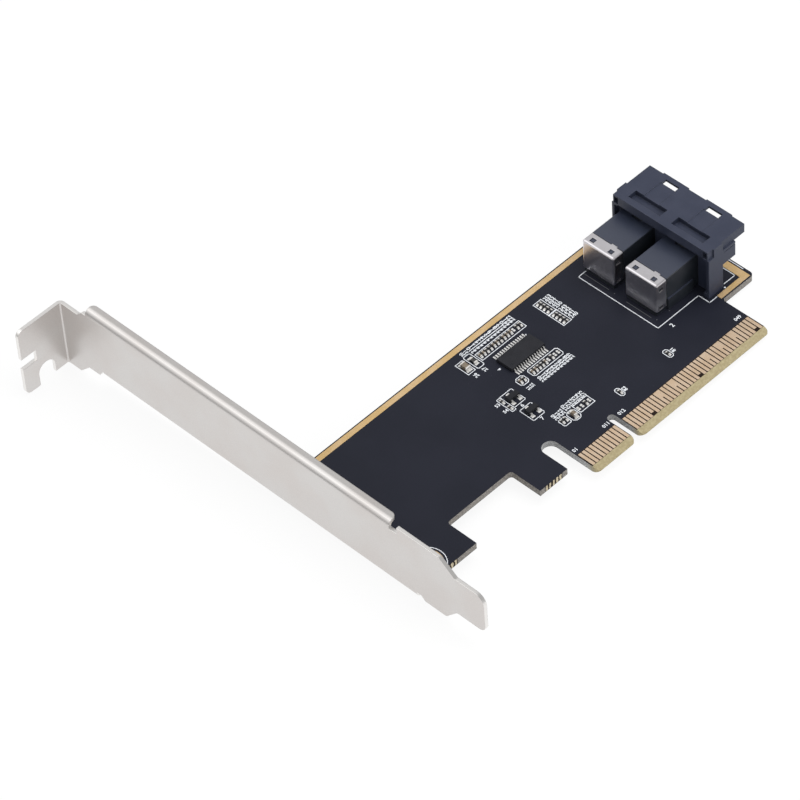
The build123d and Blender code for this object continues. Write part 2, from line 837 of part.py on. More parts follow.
def main():
    """Build every sub-part and write it."""
    os.makedirs("parts", exist_ok=True)
    write("circuit_board", circuit_board())
    write("edge_contacts_front", edge_contacts(0, plating, short_contacts_front, paired_contacts))
    write("edge_contacts_back", edge_contacts(underside - plating, underside, short_contacts_back, ()))
    write("ground_strip", ground_strip())
    write("mounting_pads", mounting_pads())
    write("bracket", bracket())
    write("bracket_screws", bracket_screws())
    write("port_guide", port_guide())
    for number, (centre, cell) in enumerate(zip(port_centres, cell_centres), 1):
        write(f"port_body_{number}", port_body(centre))
        write(f"port_cap_{number}", port_cap(centre))
        write(f"port_contacts_{number}", port_contacts(cell))
        write(f"port_joints_{number}", port_joints(centre))
    write("chip_body", chip_body())
    write("chip_leads", chip_leads())
    write("transistor_bodies", transistor_bodies())
    write("transistor_leads", transistor_leads())
    write("large_capacitor_bodies", [large_body(*part) for part in large_capacitors])
    write("large_capacitor_ends", large_ends(large_capacitors))
    write("bead_body", [large_body(*bead)])
    write("bead_ends", large_ends((bead,)))
    write("capacitor_bodies", small_bodies("c", capacitor_height))
    write("capacitor_ends", small_ends("c", capacitor_height))
    write("resistor_bodies", small_bodies("r", resistor_height))
    write("resistor_ends", small_ends("r", resistor_height))
    write("bare_pads", bare_pads())


main()
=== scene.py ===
"""Studio scene of a slot card with two data connectors and a folded slot bracket.

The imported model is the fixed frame. This script dresses its nodes, adds the white print, the tinned
pads and the solder fillets, and builds the floor, the lights and the camera. Lengths in the dataclasses
are millimetres in the card's own frame unless they say otherwise, and colours are linear.
"""

import json
import logging
import math
from dataclasses import dataclass, field, replace
from enum import Enum
from typing import Callable, Sequence, Union

import bpy
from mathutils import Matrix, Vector

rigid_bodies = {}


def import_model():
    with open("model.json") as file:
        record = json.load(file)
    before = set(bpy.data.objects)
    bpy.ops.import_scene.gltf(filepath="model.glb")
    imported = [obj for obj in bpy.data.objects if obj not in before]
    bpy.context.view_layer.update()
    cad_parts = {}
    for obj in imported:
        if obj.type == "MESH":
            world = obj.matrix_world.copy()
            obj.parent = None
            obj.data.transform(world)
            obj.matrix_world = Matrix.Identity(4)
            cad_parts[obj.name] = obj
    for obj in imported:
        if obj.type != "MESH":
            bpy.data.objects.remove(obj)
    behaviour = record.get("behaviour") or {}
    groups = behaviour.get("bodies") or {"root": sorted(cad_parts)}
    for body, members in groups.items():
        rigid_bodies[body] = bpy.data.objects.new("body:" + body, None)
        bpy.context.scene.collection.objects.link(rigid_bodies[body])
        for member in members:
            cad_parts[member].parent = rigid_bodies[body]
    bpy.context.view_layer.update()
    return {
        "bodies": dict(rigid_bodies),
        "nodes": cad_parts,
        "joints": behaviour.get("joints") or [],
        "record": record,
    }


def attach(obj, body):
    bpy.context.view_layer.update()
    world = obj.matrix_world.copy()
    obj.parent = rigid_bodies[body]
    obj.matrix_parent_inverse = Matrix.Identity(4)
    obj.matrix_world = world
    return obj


LOG = logging.getLogger("card")
MM = 0.001
Colour = tuple[float, float, float]
Triple = tuple[float, float, float]
Point = tuple[float, float]
Range = tuple[float, float]
Socket = bpy.types.NodeSocket
Value = Union[Socket, float, Sequence[float]]
Inputs = dict[Union[str, int], Value]


class Texture(Enum):
    """How the fine grain of a finish runs, as a factor on each axis of its place."""

    EVEN = (1.0, 1.0, 1.0)
    BRUSHED = (1.0, 0.08, 1.0)


@dataclass(frozen=True)
class Finish:
    """One surface finish.

    The top sheen is a painted sheen: a paler colour on the faces that look up, standing in for the light that
    falls on them. A finish with highlit cuts gets a painted highlight on the cut edges of the bracket's
    sheet.
    """

    name: str
    tint: Colour
    second_tint: Colour
    metallic: float
    roughness: float
    roughness_spread: float
    texture: Texture
    cloud_size: float
    grain_size: float
    grain_depth: float
    grain_tone: float
    edge_size: float
    edge_tint: Colour
    edge_share: float
    specular: float = 0.5
    # Painted sheen: a paler colour, and its share, on upward faces, for the light that falls on them.
    top_sheen: Colour = (0.0, 0.0, 0.0)
    top_sheen_share: float = 0.0
    # Painted highlight along the bracket's cut edges.
    highlit_cuts: bool = False


# Its last setting paints a highlight along the sheet's cut edges.
BRACKET_METAL = Finish(
    "nickel_plated_sheet", (0.66, 0.64, 0.625), (0.655, 0.622, 0.602), 1.0, 0.34, 0.06, Texture.EVEN,
    12.0, 0.22, 0.003, 0.05, 0.16, (1.0, 0.98, 0.96), 0.7, highlit_cuts=True,
)
SCREW_METAL = Finish(
    "zinc_plated_screw", (0.62, 0.61, 0.6), (0.5, 0.49, 0.5), 1.0, 0.3, 0.12, Texture.BRUSHED,
    1.5, 0.12, 0.004, 0.1, 0.12, (0.85, 0.84, 0.82), 0.4,
)
# Its last colour and share paint a sheen on the upward faces.
GUIDE_PLASTIC = Finish(
    "moulded_guide", (0.023, 0.0285, 0.05), (0.031, 0.0365, 0.06), 0.0, 0.52, 0.1, Texture.EVEN,
    4.0, 0.2, 0.006, 0.12, 0.16, (0.09, 0.1, 0.125), 0.5, 0.32, (0.06, 0.066, 0.1), 0.16,
)
# Its last colour and share paint a sheen on the upward faces.
BODY_PLASTIC = Finish(
    "moulded_connector_body", (0.012, 0.015, 0.02), (0.016, 0.019, 0.025), 0.0, 0.4, 0.1, Texture.EVEN,
    5.0, 0.22, 0.004, 0.1, 0.12, (0.075, 0.082, 0.1), 0.4, 0.8, (0.046, 0.058, 0.11), 0.35,
)
CAP_METAL = Finish(
    "stamped_stainless_cap", (0.76, 0.74, 0.77), (0.72, 0.7, 0.725), 1.0, 0.3, 0.03, Texture.BRUSHED,
    3.0, 0.1, 0.0, 0.03, 0.14, (0.86, 0.85, 0.86), 0.4,
)
CONTACT_GOLD = Finish(
    "hard_gold_contacts", (0.62, 0.475, 0.345), (0.57, 0.42, 0.285), 0.45, 0.3, 0.1, Texture.EVEN,
    2.2, 0.12, 0.003, 0.08, 0.04, (0.95, 0.8, 0.6), 0.3,
)
STRIP_GOLD = Finish(
    "immersion_gold_strip", (0.59, 0.4, 0.175), (0.62, 0.44, 0.24), 0.4, 0.38, 0.1, Texture.EVEN,
    3.5, 0.25, 0.006, 0.1, 0.04, (0.95, 0.76, 0.45), 0.3,
)
SPRING_GOLD = Finish(
    "gold_spring_contacts", (0.82, 0.58, 0.26), (0.7, 0.46, 0.2), 0.9, 0.28, 0.1, Texture.BRUSHED,
    1.0, 0.1, 0.002, 0.08, 0.03, (0.95, 0.8, 0.5), 0.3,
)
SOLDER = Finish(
    "bright_solder", (0.82, 0.82, 0.81), (0.72, 0.71, 0.69), 0.55, 0.28, 0.15, Texture.EVEN,
    0.5, 0.12, 0.006, 0.15, 0.05, (0.95, 0.95, 0.93), 0.3,
)
LEAD_METAL = Finish(
    "tinned_leads", (0.8, 0.79, 0.77), (0.68, 0.67, 0.65), 0.85, 0.3, 0.1, Texture.BRUSHED,
    0.8, 0.08, 0.002, 0.1, 0.03, (0.95, 0.95, 0.93), 0.3,
)
CHIP_PLASTIC = Finish(
    "chip_moulding_compound", (0.0125, 0.013, 0.0165), (0.017, 0.0175, 0.0215), 0.0, 0.55, 0.1, Texture.EVEN,
    2.5, 0.1, 0.006, 0.15, 0.08, (0.05, 0.052, 0.06), 0.4, 0.25,
)
TRANSISTOR_PLASTIC = replace(
    CHIP_PLASTIC, name="transistor_moulding_compound", tint=(0.0115, 0.012, 0.015),
    second_tint=(0.015, 0.0155, 0.019), specular=0.22,
)
CERAMIC = Finish(
    "brown_ceramic", (0.195, 0.158, 0.115), (0.15, 0.12, 0.09), 0.0, 0.4, 0.12, Texture.EVEN,
    0.5, 0.06, 0.003, 0.2, 0.04, (0.5, 0.4, 0.3), 0.3,
)
END_METAL = Finish(
    "tinned_end_caps", (0.82, 0.8, 0.77), (0.68, 0.66, 0.63), 0.6, 0.32, 0.12, Texture.EVEN,
    0.4, 0.07, 0.004, 0.15, 0.05, (0.95, 0.94, 0.92), 0.3,
)
RESISTOR_FILM = Finish(
    "glazed_resistor_film", (0.03, 0.029, 0.028), (0.045, 0.042, 0.04), 0.0, 0.3, 0.1, Texture.EVEN,
    0.4, 0.05, 0.002, 0.2, 0.03, (0.1, 0.1, 0.1), 0.3,
)


class Wiring:
    """Places shader nodes in one tree and joins their sockets."""

    column_width = 170.0

    def __init__(self, tree: bpy.types.NodeTree) -> None:
        """Take the node tree of a material, a world or a group to work in."""
        self.tree = tree

    def feed(self, socket: Socket, value: Value) -> None:
        """Give a socket a link or a fixed value.

        Args:
            socket: The input to feed.
            value: Another node's output, or the value itself, where a colour needs no alpha.
        """
        if isinstance(value, bpy.types.NodeSocket):
            self.tree.links.new(value, socket)
        else:
            socket.default_value = (*value, 1.0) if socket.type == "RGBA" else value

    def fill(self, node: bpy.types.Node, inputs: Inputs) -> None:
        """Feed several inputs of a node."""
        for name, value in inputs.items():
            self.feed(node.inputs[name], value)

    def add(self, kind: str, inputs: Inputs, **settings: object) -> bpy.types.Node:
        """Add one node.

        Args:
            kind: The node's class name.
            inputs: What to feed it, by name or number.
            settings: Properties to set on it first.

        Returns:
            The new node.
        """
        node = self.tree.nodes.new(kind)
        node.location.x = len(self.tree.nodes) * self.column_width
        for name, value in settings.items():
            setattr(node, name, value)
        self.fill(node, inputs)
        return node

    def read(self, kind: str, output: str) -> Socket:
        """Add a node that takes nothing in, and return one of its outputs."""
        return self.add(kind, {}).outputs[output]

    def calculate(self, operation: str, first: Value, second: Value = 0.0, clamp: bool = False) -> Socket:
        """Do one arithmetic step, clamped to 0 and 1 on demand."""
        inputs = {0: first, 1: second}
        return self.add("ShaderNodeMath", inputs, operation=operation, use_clamp=clamp).outputs[0]

    def product(self, first: Value, *others: Value) -> Value:
        """Multiply numbers."""
        for other in others:
            first = self.calculate("MULTIPLY", first, other)
        return first

    def total(self, first: Value, *others: Value) -> Value:
        """Add numbers up."""
        for other in others:
            first = self.calculate("ADD", first, other)
        return first

    def measure(self, operation: str, first: Value, second: Value) -> Socket:
        """Read one number from two vectors."""
        return self.add("ShaderNodeVectorMath", {0: first, 1: second}, operation=operation).outputs["Value"]

    def ramp(
        self, value: Value, low: float, high: float, to_low: float = 0.0, to_high: float = 1.0,
        shape: str = "SMOOTHSTEP",
    ) -> Socket:
        """Turn the range from low to high of a value into the one from to_low to to_high, clamped."""
        inputs = {"Value": value, "From Min": low, "From Max": high, "To Min": to_low, "To Max": to_high}
        return self.add("ShaderNodeMapRange", inputs, interpolation_type=shape).outputs["Result"]

    def fall(self, value: Value, low: float, high: float) -> Socket:
        """Turn the range from low to high of a value into 1 to 0."""
        return self.ramp(value, low, high, 1.0, 0.0)

    def bands(self, value: Value, soft: float, *ranges: Range) -> Value:
        """Mask that is 1 inside some ranges and 0 outside them.

        Args:
            value: The number to read.
            soft: Half the width of the ranges' edges.
            ranges: Start and end of each range.

        Returns:
            The mask's socket.
        """
        masks = []
        for low, high in ranges:
            rise = self.ramp(value, low - soft, low + soft)
            masks.append(self.product(rise, self.fall(value, high - soft, high + soft)))
        return self.total(*masks)

    def blend(self, share: Value, first: Value, second: Value, mode: str = "MIX") -> Socket:
        """Mix two colours, which a Mix node has as its inputs 6 and 7 and its output 2."""
        inputs = {0: share, 6: first, 7: second}
        return self.add("ShaderNodeMix", inputs, data_type="RGBA", blend_type=mode).outputs[2]

    def noise(self, place: Socket, scale: Value, octaves: float) -> Socket:
        """Smooth noise from 0 to 1, with some finer layers added."""
        inputs = {"Vector": place, "Scale": scale, "Detail": octaves}
        return self.add("ShaderNodeTexNoise", inputs).outputs["Fac"]

    def millimetres(self, stretch: Triple = (1.0, 1.0, 1.0)) -> Socket:
        """The place on the object in millimetres, times the stretch of each axis."""
        place = self.read("ShaderNodeTexCoord", "Object")
        scale = [factor / MM for factor in stretch]
        return self.add("ShaderNodeMapping", {"Vector": place, "Scale": scale}).outputs["Vector"]

    def axes(self, vector: Socket) -> list[Socket]:
        """Split a vector into its three numbers."""
        return list(self.add("ShaderNodeSeparateXYZ", {0: vector}).outputs)

    def group(self, tree: bpy.types.NodeTree, **inputs: Value) -> list[Socket]:
        """Place a shared effect and return its outputs."""
        return list(self.add("ShaderNodeGroup", inputs, node_tree=tree).outputs)


@dataclass
class SharedEffects:
    """The node groups that several materials use.

    A range is where a mask starts and where it is full, and octaves are a noise's finer layers.
    """

    cloud_octaves: float = 4.0
    cloud_range: Range = (0.34, 0.66)
    grain_octaves: float = 3.0
    grain_contrast: float = 4.0
    edge_turn: Range = (0.8, 0.995)
    patch_scale: float = 1.3
    patch_octaves: float = 3.0
    patch_range: Range = (0.3, 0.6)
    patch_least: float = 0.45

    def __post_init__(self) -> None:
        """Build each group once."""
        self.clouding = self.build("clouding", self.draw_clouding, {
            "Place": "Vector", "Size": "Float", "First": "Color", "Second": "Color",
        }, {"Colour": "Color", "Mask": "Float"})
        self.grain = self.build("fine_grain", self.draw_grain, {
            "Place": "Vector", "Size": "Float", "Colour": "Color", "Tone": "Float",
        }, {"Colour": "Color", "Height": "Float"})
        self.edges = self.build("rubbed_edges", self.draw_edges, {
            "Rounded": "Vector", "Flat": "Vector", "Place": "Vector", "Colour": "Color", "Bare": "Color",
            "Share": "Float",
        }, {"Colour": "Color"})

    @staticmethod
    def build(
        name: str, draw: Callable[..., Sequence[Socket]], inputs: dict[str, str], outputs: dict[str, str]
    ) -> bpy.types.NodeTree:
        """Make one group with named sockets.

        Args:
            name: The group's name.
            draw: Wires its inside from its inputs and returns what its outputs show.
            inputs: Kind of each input by name.
            outputs: Kind of each output by name.

        Returns:
            The group's tree.
        """
        tree = bpy.data.node_groups.new(name, "ShaderNodeTree")
        for side, sockets in (("INPUT", inputs), ("OUTPUT", outputs)):
            for socket, kind in sockets.items():
                tree.interface.new_socket(socket, in_out=side, socket_type=f"NodeSocket{kind}")
        wiring = Wiring(tree)
        start = wiring.add("NodeGroupInput", {}).outputs
        results = draw(wiring, *(start[socket] for socket in inputs))
        wiring.add("NodeGroupOutput", dict(zip(outputs, results)))
        return tree

    def draw_clouding(
        self, wiring: Wiring, place: Socket, size: Socket, first: Socket, second: Socket
    ) -> Sequence[Socket]:
        """Large soft drifts from one colour to another.

        Args:
            wiring: The group's wiring.
            place: The place in millimetres.
            size: The drifts' size.
            first: One colour.
            second: The other colour.

        Returns:
            The colour, and the mask of the second one.
        """
        drifts = wiring.noise(place, wiring.calculate("DIVIDE", 1.0, size), self.cloud_octaves)
        mask = wiring.ramp(drifts, *self.cloud_range)
        return wiring.blend(mask, first, second), mask

    def draw_grain(
        self, wiring: Wiring, place: Socket, size: Socket, colour: Socket, tone: Socket
    ) -> Sequence[Socket]:
        """Fine speckle in tone and height.

        Args:
            wiring: The group's wiring.
            place: The place in millimetres.
            size: The speckle's size.
            colour: The colour under it.
            tone: How much it lightens and darkens.

        Returns:
            The speckled colour and the height.
        """
        height = wiring.noise(place, wiring.calculate("DIVIDE", 1.0, size), self.grain_octaves)
        lift = wiring.product(wiring.calculate("SUBTRACT", height, 0.5), tone, self.grain_contrast)
        return wiring.blend(1.0, colour, wiring.total(lift, 1.0), "MULTIPLY"), height

    def draw_edges(
        self, wiring: Wiring, rounded: Socket, flat: Socket, place: Socket, colour: Socket, bare: Socket,
        share: Socket,
    ) -> Sequence[Socket]:
        """Lighter colour where an edge is rubbed, uneven along its length.

        Args:
            wiring: The group's wiring.
            rounded: The normal as if edges were round.
            flat: The true normal.
            place: The place in millimetres.
            colour: The colour of the faces.
            bare: The colour of a rubbed edge.
            share: How much of it shows at most.

        Returns:
            The colour alone.
        """
        turn = wiring.fall(wiring.measure("DOT_PRODUCT", rounded, flat), *self.edge_turn)
        patches = wiring.noise(place, self.patch_scale, self.patch_octaves)
        patchy = wiring.ramp(patches, *self.patch_range, self.patch_least, 1.0)
        return (wiring.blend(wiring.product(turn, patchy, share), colour, bare),)


class Surface(Wiring):
    """A material in the making, with its Principled shader, its place and its true normal."""

    bevel_samples = 6

    def __init__(self, name: str, effects: SharedEffects) -> None:
        """Start the material.

        Args:
            name: Its name.
            effects: The shared node groups.
        """
        self.material = bpy.data.materials.new(name)
        self.material.use_nodes = True
        super().__init__(self.material.node_tree)
        self.shader = self.tree.nodes["Principled BSDF"]
        self.effects = effects
        self.place = self.millimetres()
        self.flat = self.read("ShaderNodeNewGeometry", "Normal")

    def cloud(
        self, size: float, first: Colour, second: Colour, stretch: Triple = (1.0, 1.0, 1.0)
    ) -> list[Socket]:
        """Drift between two colours, and return the colour and the mask of the second."""
        place = self.millimetres(stretch)
        return self.group(self.effects.clouding, Place=place, Size=size, First=first, Second=second)

    def speckle(
        self, colour: Socket, size: float, tone: float, stretch: Triple = (1.0, 1.0, 1.0)
    ) -> list[Socket]:
        """Speckle a colour, and return it and the speckle's height."""
        place = self.millimetres(stretch)
        return self.group(self.effects.grain, Place=place, Size=size, Colour=colour, Tone=tone)

    def bump(self, height: Socket, depth: float, **normal: Socket) -> None:
        """Give the shader a fine bump of this depth, on a rounded normal if there is one."""
        bump = self.add("ShaderNodeBump", {"Distance": depth * MM, "Height": height, **normal})
        self.feed(self.shader.inputs["Normal"], bump.outputs["Normal"])

    def relief(self, height: Socket, depth: float, edge_size: float) -> Socket:
        """Give the shader its fine bump and softly rounded edges.

        Args:
            height: The bump's height, from 0 to 1.
            depth: How deep that is.
            edge_size: The radius that edges appear to have.

        Returns:
            The rounded normal.
        """
        bevel = self.add("ShaderNodeBevel", {"Radius": edge_size * MM}, samples=self.bevel_samples)
        self.bump(height, depth, Normal=bevel.outputs["Normal"])
        return bevel.outputs["Normal"]


@dataclass(frozen=True)
class SheetCuts:
    """Where the bracket's sheet lies, which tells its cut edges from its faces, and the painted highlight put
    on those edges.
    """

    plate: Range = (-57.17, -56.33)
    tab: Range = (107.17, 108.01)
    soft: float = 0.01
    edge_facing: Range = (0.3, 0.6)
    # Colour of the painted highlight on the cut edges.
    cut_highlight: Colour = (0.86, 0.84, 0.82)

    def paint_cut_highlights(self, surface: Surface, colour: Socket) -> Socket:
        """Paint a highlight on the cut edges.

        Args:
            surface: The bracket's surface.
            colour: The colour of its faces.

        Returns:
            The colour of faces and edges.
        """
        places, directions = surface.axes(surface.place), surface.axes(surface.flat)
        masks = []
        for place, direction, sheet in zip(places, directions, (self.plate, self.tab)):
            turned = surface.fall(surface.calculate("ABSOLUTE", direction), *self.edge_facing)
            masks.append(surface.product(turned, surface.bands(place, self.soft, sheet)))
        return surface.blend(surface.calculate("MAXIMUM", *masks), colour, self.cut_highlight)


class Dresser:
    """Makes each finish's material and puts it on the frame's nodes."""

    # Where the painted sheen on upward faces starts and where it is full, read from the normal's Z.
    top_sheen_facing: Range = (0.6, 0.95)

    def __init__(self, frame: dict) -> None:
        self.nodes = frame["nodes"]
        self.effects = SharedEffects()
        self.made: dict[str, bpy.types.Material] = {}

    def material(self, finish: Finish) -> bpy.types.Material:
        """Make or reuse the material of a finish.

        Args:
            finish: The finish wanted.

        Returns:
            Its material.
        """
        if finish.name in self.made:
            return self.made[finish.name]
        surface = Surface(finish.name, self.effects)
        colour, drift = surface.cloud(finish.cloud_size, finish.tint, finish.second_tint)
        colour, height = surface.speckle(colour, finish.grain_size, finish.grain_tone, finish.texture.value)
        rounded = surface.relief(height, finish.grain_depth, finish.edge_size)
        (colour,) = surface.group(
            self.effects.edges, Rounded=rounded, Flat=surface.flat, Place=surface.place, Colour=colour,
            Bare=finish.edge_tint, Share=finish.edge_share,
        )
        # Painted sheen: upward faces turn paler, standing in for the light that falls on them.
        if finish.top_sheen_share > 0:
            sheen_mask = surface.ramp(surface.axes(surface.flat)[2], *self.top_sheen_facing, 0.0, finish.top_sheen_share)
            colour = surface.blend(sheen_mask, colour, finish.top_sheen)
        # Painted highlight: the cut edges of the bracket's sheet are made brighter.
        if finish.highlit_cuts:
            colour = SheetCuts().paint_cut_highlights(surface, colour)
        uneven = surface.product(surface.total(drift, height), finish.roughness_spread)
        rough = surface.total(uneven, finish.roughness - finish.roughness_spread)
        surface.fill(surface.shader, {
            "Base Color": colour, "Roughness": rough, "Metallic": finish.metallic,
            "Specular IOR Level": finish.specular,
        })
        self.made[finish.name] = surface.material
        return surface.material

    def dress(self, material: bpy.types.Material, *names: str) -> None:
        """Put a material on nodes of the frame.

        Args:
            material: The material.
            names: The nodes' names.
        """
        for name in names:
            for slot in self.nodes[name].material_slots:
                slot.material = material
            LOG.info("dressed %s in %s", name, material.name)


class Bench:
    """Modelling steps that several pieces share."""

    @staticmethod
    def pick(*pieces: bpy.types.Object) -> None:
        """Go to object mode and select only these pieces, with the first one active.

        Args:
            pieces: The pieces, or none.
        """
        if bpy.context.object and bpy.context.object.mode != "OBJECT":
            bpy.ops.object.mode_set(mode="OBJECT")
        bpy.ops.object.select_all(action="DESELECT")
        for piece in pieces:
            piece.select_set(True)
            bpy.context.view_layer.objects.active = pieces[0]

    @staticmethod
    def settle(piece: bpy.types.Object) -> bpy.types.Object:
        """Move a piece's place, turn and scale into its mesh, and return it."""
        Bench.pick(piece)
        bpy.ops.object.transform_apply(location=True, rotation=True, scale=True)
        return piece

    @staticmethod
    def block(centre: Triple, size: Triple, turn: float = 0.0) -> bpy.types.Object:
        """Add a block at its size and place.

        Args:
            centre: Its centre.
            size: Its three sizes.
            turn: Its turn about Z, in degrees.

        Returns:
            The block, settled.
        """
        Bench.pick()
        bpy.ops.mesh.primitive_cube_add(size=1.0, location=[value * MM for value in centre])
        piece = bpy.context.object
        piece.scale = [value * MM for value in size]
        piece.rotation_euler.z = math.radians(turn)
        return Bench.settle(piece)

    @staticmethod
    def edit(piece: bpy.types.Object) -> None:
        """Open a piece in edit mode with all of it selected."""
        Bench.pick(piece)
        bpy.ops.object.mode_set(mode="EDIT")
        bpy.ops.mesh.select_all(action="SELECT")

    @staticmethod
    def edit_some(piece: bpy.types.Object, kind: str, wanted: Callable[[object], bool]) -> None:
        """Open a piece in edit mode with some of it selected.

        Args:
            piece: The piece.
            kind: FACE or EDGE.
            wanted: Says of a face or edge whether to select it.
        """
        Bench.edit(piece)
        bpy.ops.mesh.select_mode(type=kind)
        bpy.ops.mesh.select_all(action="DESELECT")
        Bench.pick(piece)
        for part in piece.data.polygons if kind == "FACE" else piece.data.edges:
            part.select = wanted(part)
        bpy.ops.object.mode_set(mode="EDIT")

    @staticmethod
    def modify(piece: bpy.types.Object, kind: str, **settings: object) -> None:
        """Add a modifier and apply it.

        Args:
            piece: The piece it works on.
            kind: The modifier's type.
            settings: Its properties.
        """
        Bench.pick(piece)
        modifier = piece.modifiers.new(kind.lower(), kind)
        for name, value in settings.items():
            setattr(modifier, name, value)
        bpy.ops.object.modifier_apply(modifier=modifier.name)

    @staticmethod
    def copy(piece: bpy.types.Object, x: float, y: float, turn: float = 0.0) -> bpy.types.Object:
        """Copy a piece that was modelled round the origin, with a mesh of its own.

        Args:
            piece: The piece to copy.
            x: Where its origin goes in X.
            y: Where its origin goes in Y.
            turn: Its turn about Z, in degrees.

        Returns:
            The copy, settled.
        """
        twin = piece.copy()
        twin.data = piece.data.copy()
        bpy.context.scene.collection.objects.link(twin)
        twin.location = (x * MM, y * MM, 0.0)
        twin.rotation_euler.z = math.radians(turn)
        return Bench.settle(twin)

    @staticmethod
    def join(name: str, parts: list[bpy.types.Object]) -> bpy.types.Object:
        """Join parts into one piece.

        Args:
            name: The piece's name.
            parts: What it is joined from.

        Returns:
            The piece.
        """
        Bench.pick(*parts)
        if len(parts) > 1:
            bpy.ops.object.join()
        piece = bpy.context.object
        piece.name = name
        piece.data.name = name
        return Bench.settle(piece)

    @staticmethod
    def hand_over(piece: bpy.types.Object, material: bpy.types.Material, slot: str) -> None:
        """Dress a new piece and let it ride on the card.

        Args:
            piece: The piece.
            material: Its material.
            slot: The record's slot that it would take its finish from; not used.
        """
        piece.data.materials.clear()
        piece.data.materials.append(material)
        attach(piece, "root")
        LOG.info("made %s with %d faces", piece.name, len(piece.data.polygons))


@dataclass
class Board:
    """The circuit board: solder mask, contact windows, bevelled tip and routed sides.

    A stretch is how many times finer a pattern is along each axis. Facing ranges are read from the
    surface's normal.
    """

    thickness: float = 1.6
    mask_thickness: float = 0.09
    mask_line_soft: float = 0.02
    mask_line_share: float = 0.75
    mask: Colour = (0.0125, 0.0138, 0.0215)
    mask_second: Colour = (0.0145, 0.0158, 0.0245)
    mask_cloud_size: float = 14.0
    mask_grain_size: float = 0.3
    mask_grain_tone: float = 0.08
    mask_roughness: Range = (0.4, 0.5)
    speck: Colour = (0.05, 0.053, 0.065)
    speck_scale: float = 0.16
    speck_range: Range = (0.012, 0.028)
    speck_share: float = 0.5
    specular: float = 0.14
    tongue_left: float = -12.15
    tongue_soft: float = 0.1
    window_top: float = 5.86
    window_soft: float = 0.04
    window: Colour = (0.014, 0.008, 0.006)
    bevel_top: float = 1.5
    bevel_soft: float = 0.03
    bevel_stretch: Triple = (1.0, 1.0, 2.0)
    bevel: Colour = (0.36, 0.31, 0.185)
    bevel_second: Colour = (0.3, 0.25, 0.145)
    tip_facing: Range = (-0.8, -0.4)
    tip_roughness: float = 0.6
    side_facing: Range = (0.55, 0.75)
    side_roughness: float = 0.8
    side_stretch: Triple = (0.9, 0.9, 5.0)
    side: Colour = (0.262, 0.243, 0.222)
    side_second: Colour = (0.145, 0.136, 0.126)
    side_light: Colour = (0.33, 0.31, 0.29)
    weave_size: float = 0.55
    thread_stretch: Triple = (5.0, 5.0, 2.0)
    thread_range: Range = (0.52, 0.7)
    milled: Colour = (0.4, 0.405, 0.41)
    milled_second: Colour = (0.34, 0.343, 0.345)
    milled_size: float = 0.9
    milled_slots: tuple[Range, ...] = ((-15.75, -11.9), (-1.15, 1.15))
    warm_range: Range = (0.7, 3.4)
    tab_start: Range = (4.4, 4.5)
    tab_end: Range = (4.82, 4.9)
    stubs: tuple[Range, ...] = ((-50.4, -47.4), (-22.3, -17.4))
    stub_pitch: float = 1.0
    stub_part: Range = (0.1, 0.62)
    stub_wander: float = 0.6
    stub_stretch: Triple = (1.0, 1.0, 0.6)
    stub_noise_scale: float = 1.4
    stub_soft: float = 0.04
    stub_gold: Colour = (0.47, 0.41, 0.29)
    stub_gap: Colour = (0.022, 0.015, 0.011)
    left_of_board: float = 100.0
    relief_stretch: Triple = (3.0, 3.0, 0.7)
    relief_scale: float = 1.6
    relief_speckle: float = 0.08
    relief_depth: float = 0.05
    relief_edge: float = 0.07

    def build(self, dresser: Dresser) -> None:
        """Dress the board node.

        Args:
            dresser: What makes and places materials.
        """
        surface = Surface("masked_laminate_board", dresser.effects)
        x, y, _ = surface.axes(surface.place)
        _, ahead, upward = surface.axes(surface.flat)
        colour, speckle = self.mask_colour(surface)
        tongue = surface.ramp(x, self.tongue_left - self.tongue_soft, self.tongue_left)
        window = surface.product(tongue, surface.fall(y, self.window_top, self.window_top + self.window_soft))
        colour = surface.blend(window, colour, self.window)
        tip = surface.fall(y, self.bevel_top - self.bevel_soft, self.bevel_top + self.bevel_soft)
        bevel, _ = surface.cloud(self.weave_size, self.bevel, self.bevel_second, self.bevel_stretch)
        colour = surface.blend(tip, colour, bevel)
        upright = surface.fall(surface.calculate("ABSOLUTE", upward), *self.side_facing)
        blunt = surface.product(tip, surface.fall(ahead, *self.tip_facing))
        on_side = surface.calculate("SUBTRACT", upright, blunt, True)
        colour = surface.blend(on_side, colour, self.side_colour(surface))
        rough = surface.ramp(speckle, 0.0, 1.0, *self.mask_roughness)
        for mask, roughness in ((on_side, self.side_roughness), (tip, self.tip_roughness)):
            rough = surface.calculate("MAXIMUM", rough, surface.product(mask, roughness))
        surface.fill(surface.shader, {
            "Base Color": colour, "Roughness": rough, "Specular IOR Level": self.specular,
        })
        fibre = surface.noise(surface.millimetres(self.relief_stretch), self.relief_scale, 3.0)
        height = surface.total(surface.product(fibre, on_side), surface.product(speckle, self.relief_speckle))
        surface.relief(height, self.relief_depth, self.relief_edge)
        dresser.dress(surface.material, "circuit_board")

    def mask_colour(self, surface: Surface) -> tuple[Socket, Socket]:
        """Colour of the solder mask with its faint drifts and a few pale specks.

        Args:
            surface: The board's surface.

        Returns:
            The colour and the fine height.
        """
        colour, _ = surface.cloud(self.mask_cloud_size, self.mask, self.mask_second)
        colour, height = surface.speckle(colour, self.mask_grain_size, self.mask_grain_tone)
        inputs = {"Vector": surface.place, "Scale": self.speck_scale}
        dust = surface.add("ShaderNodeTexVoronoi", inputs, feature="F1").outputs["Distance"]
        specks = surface.ramp(dust, *self.speck_range, self.speck_share, 0.0)
        return surface.blend(specks, colour, self.speck), height

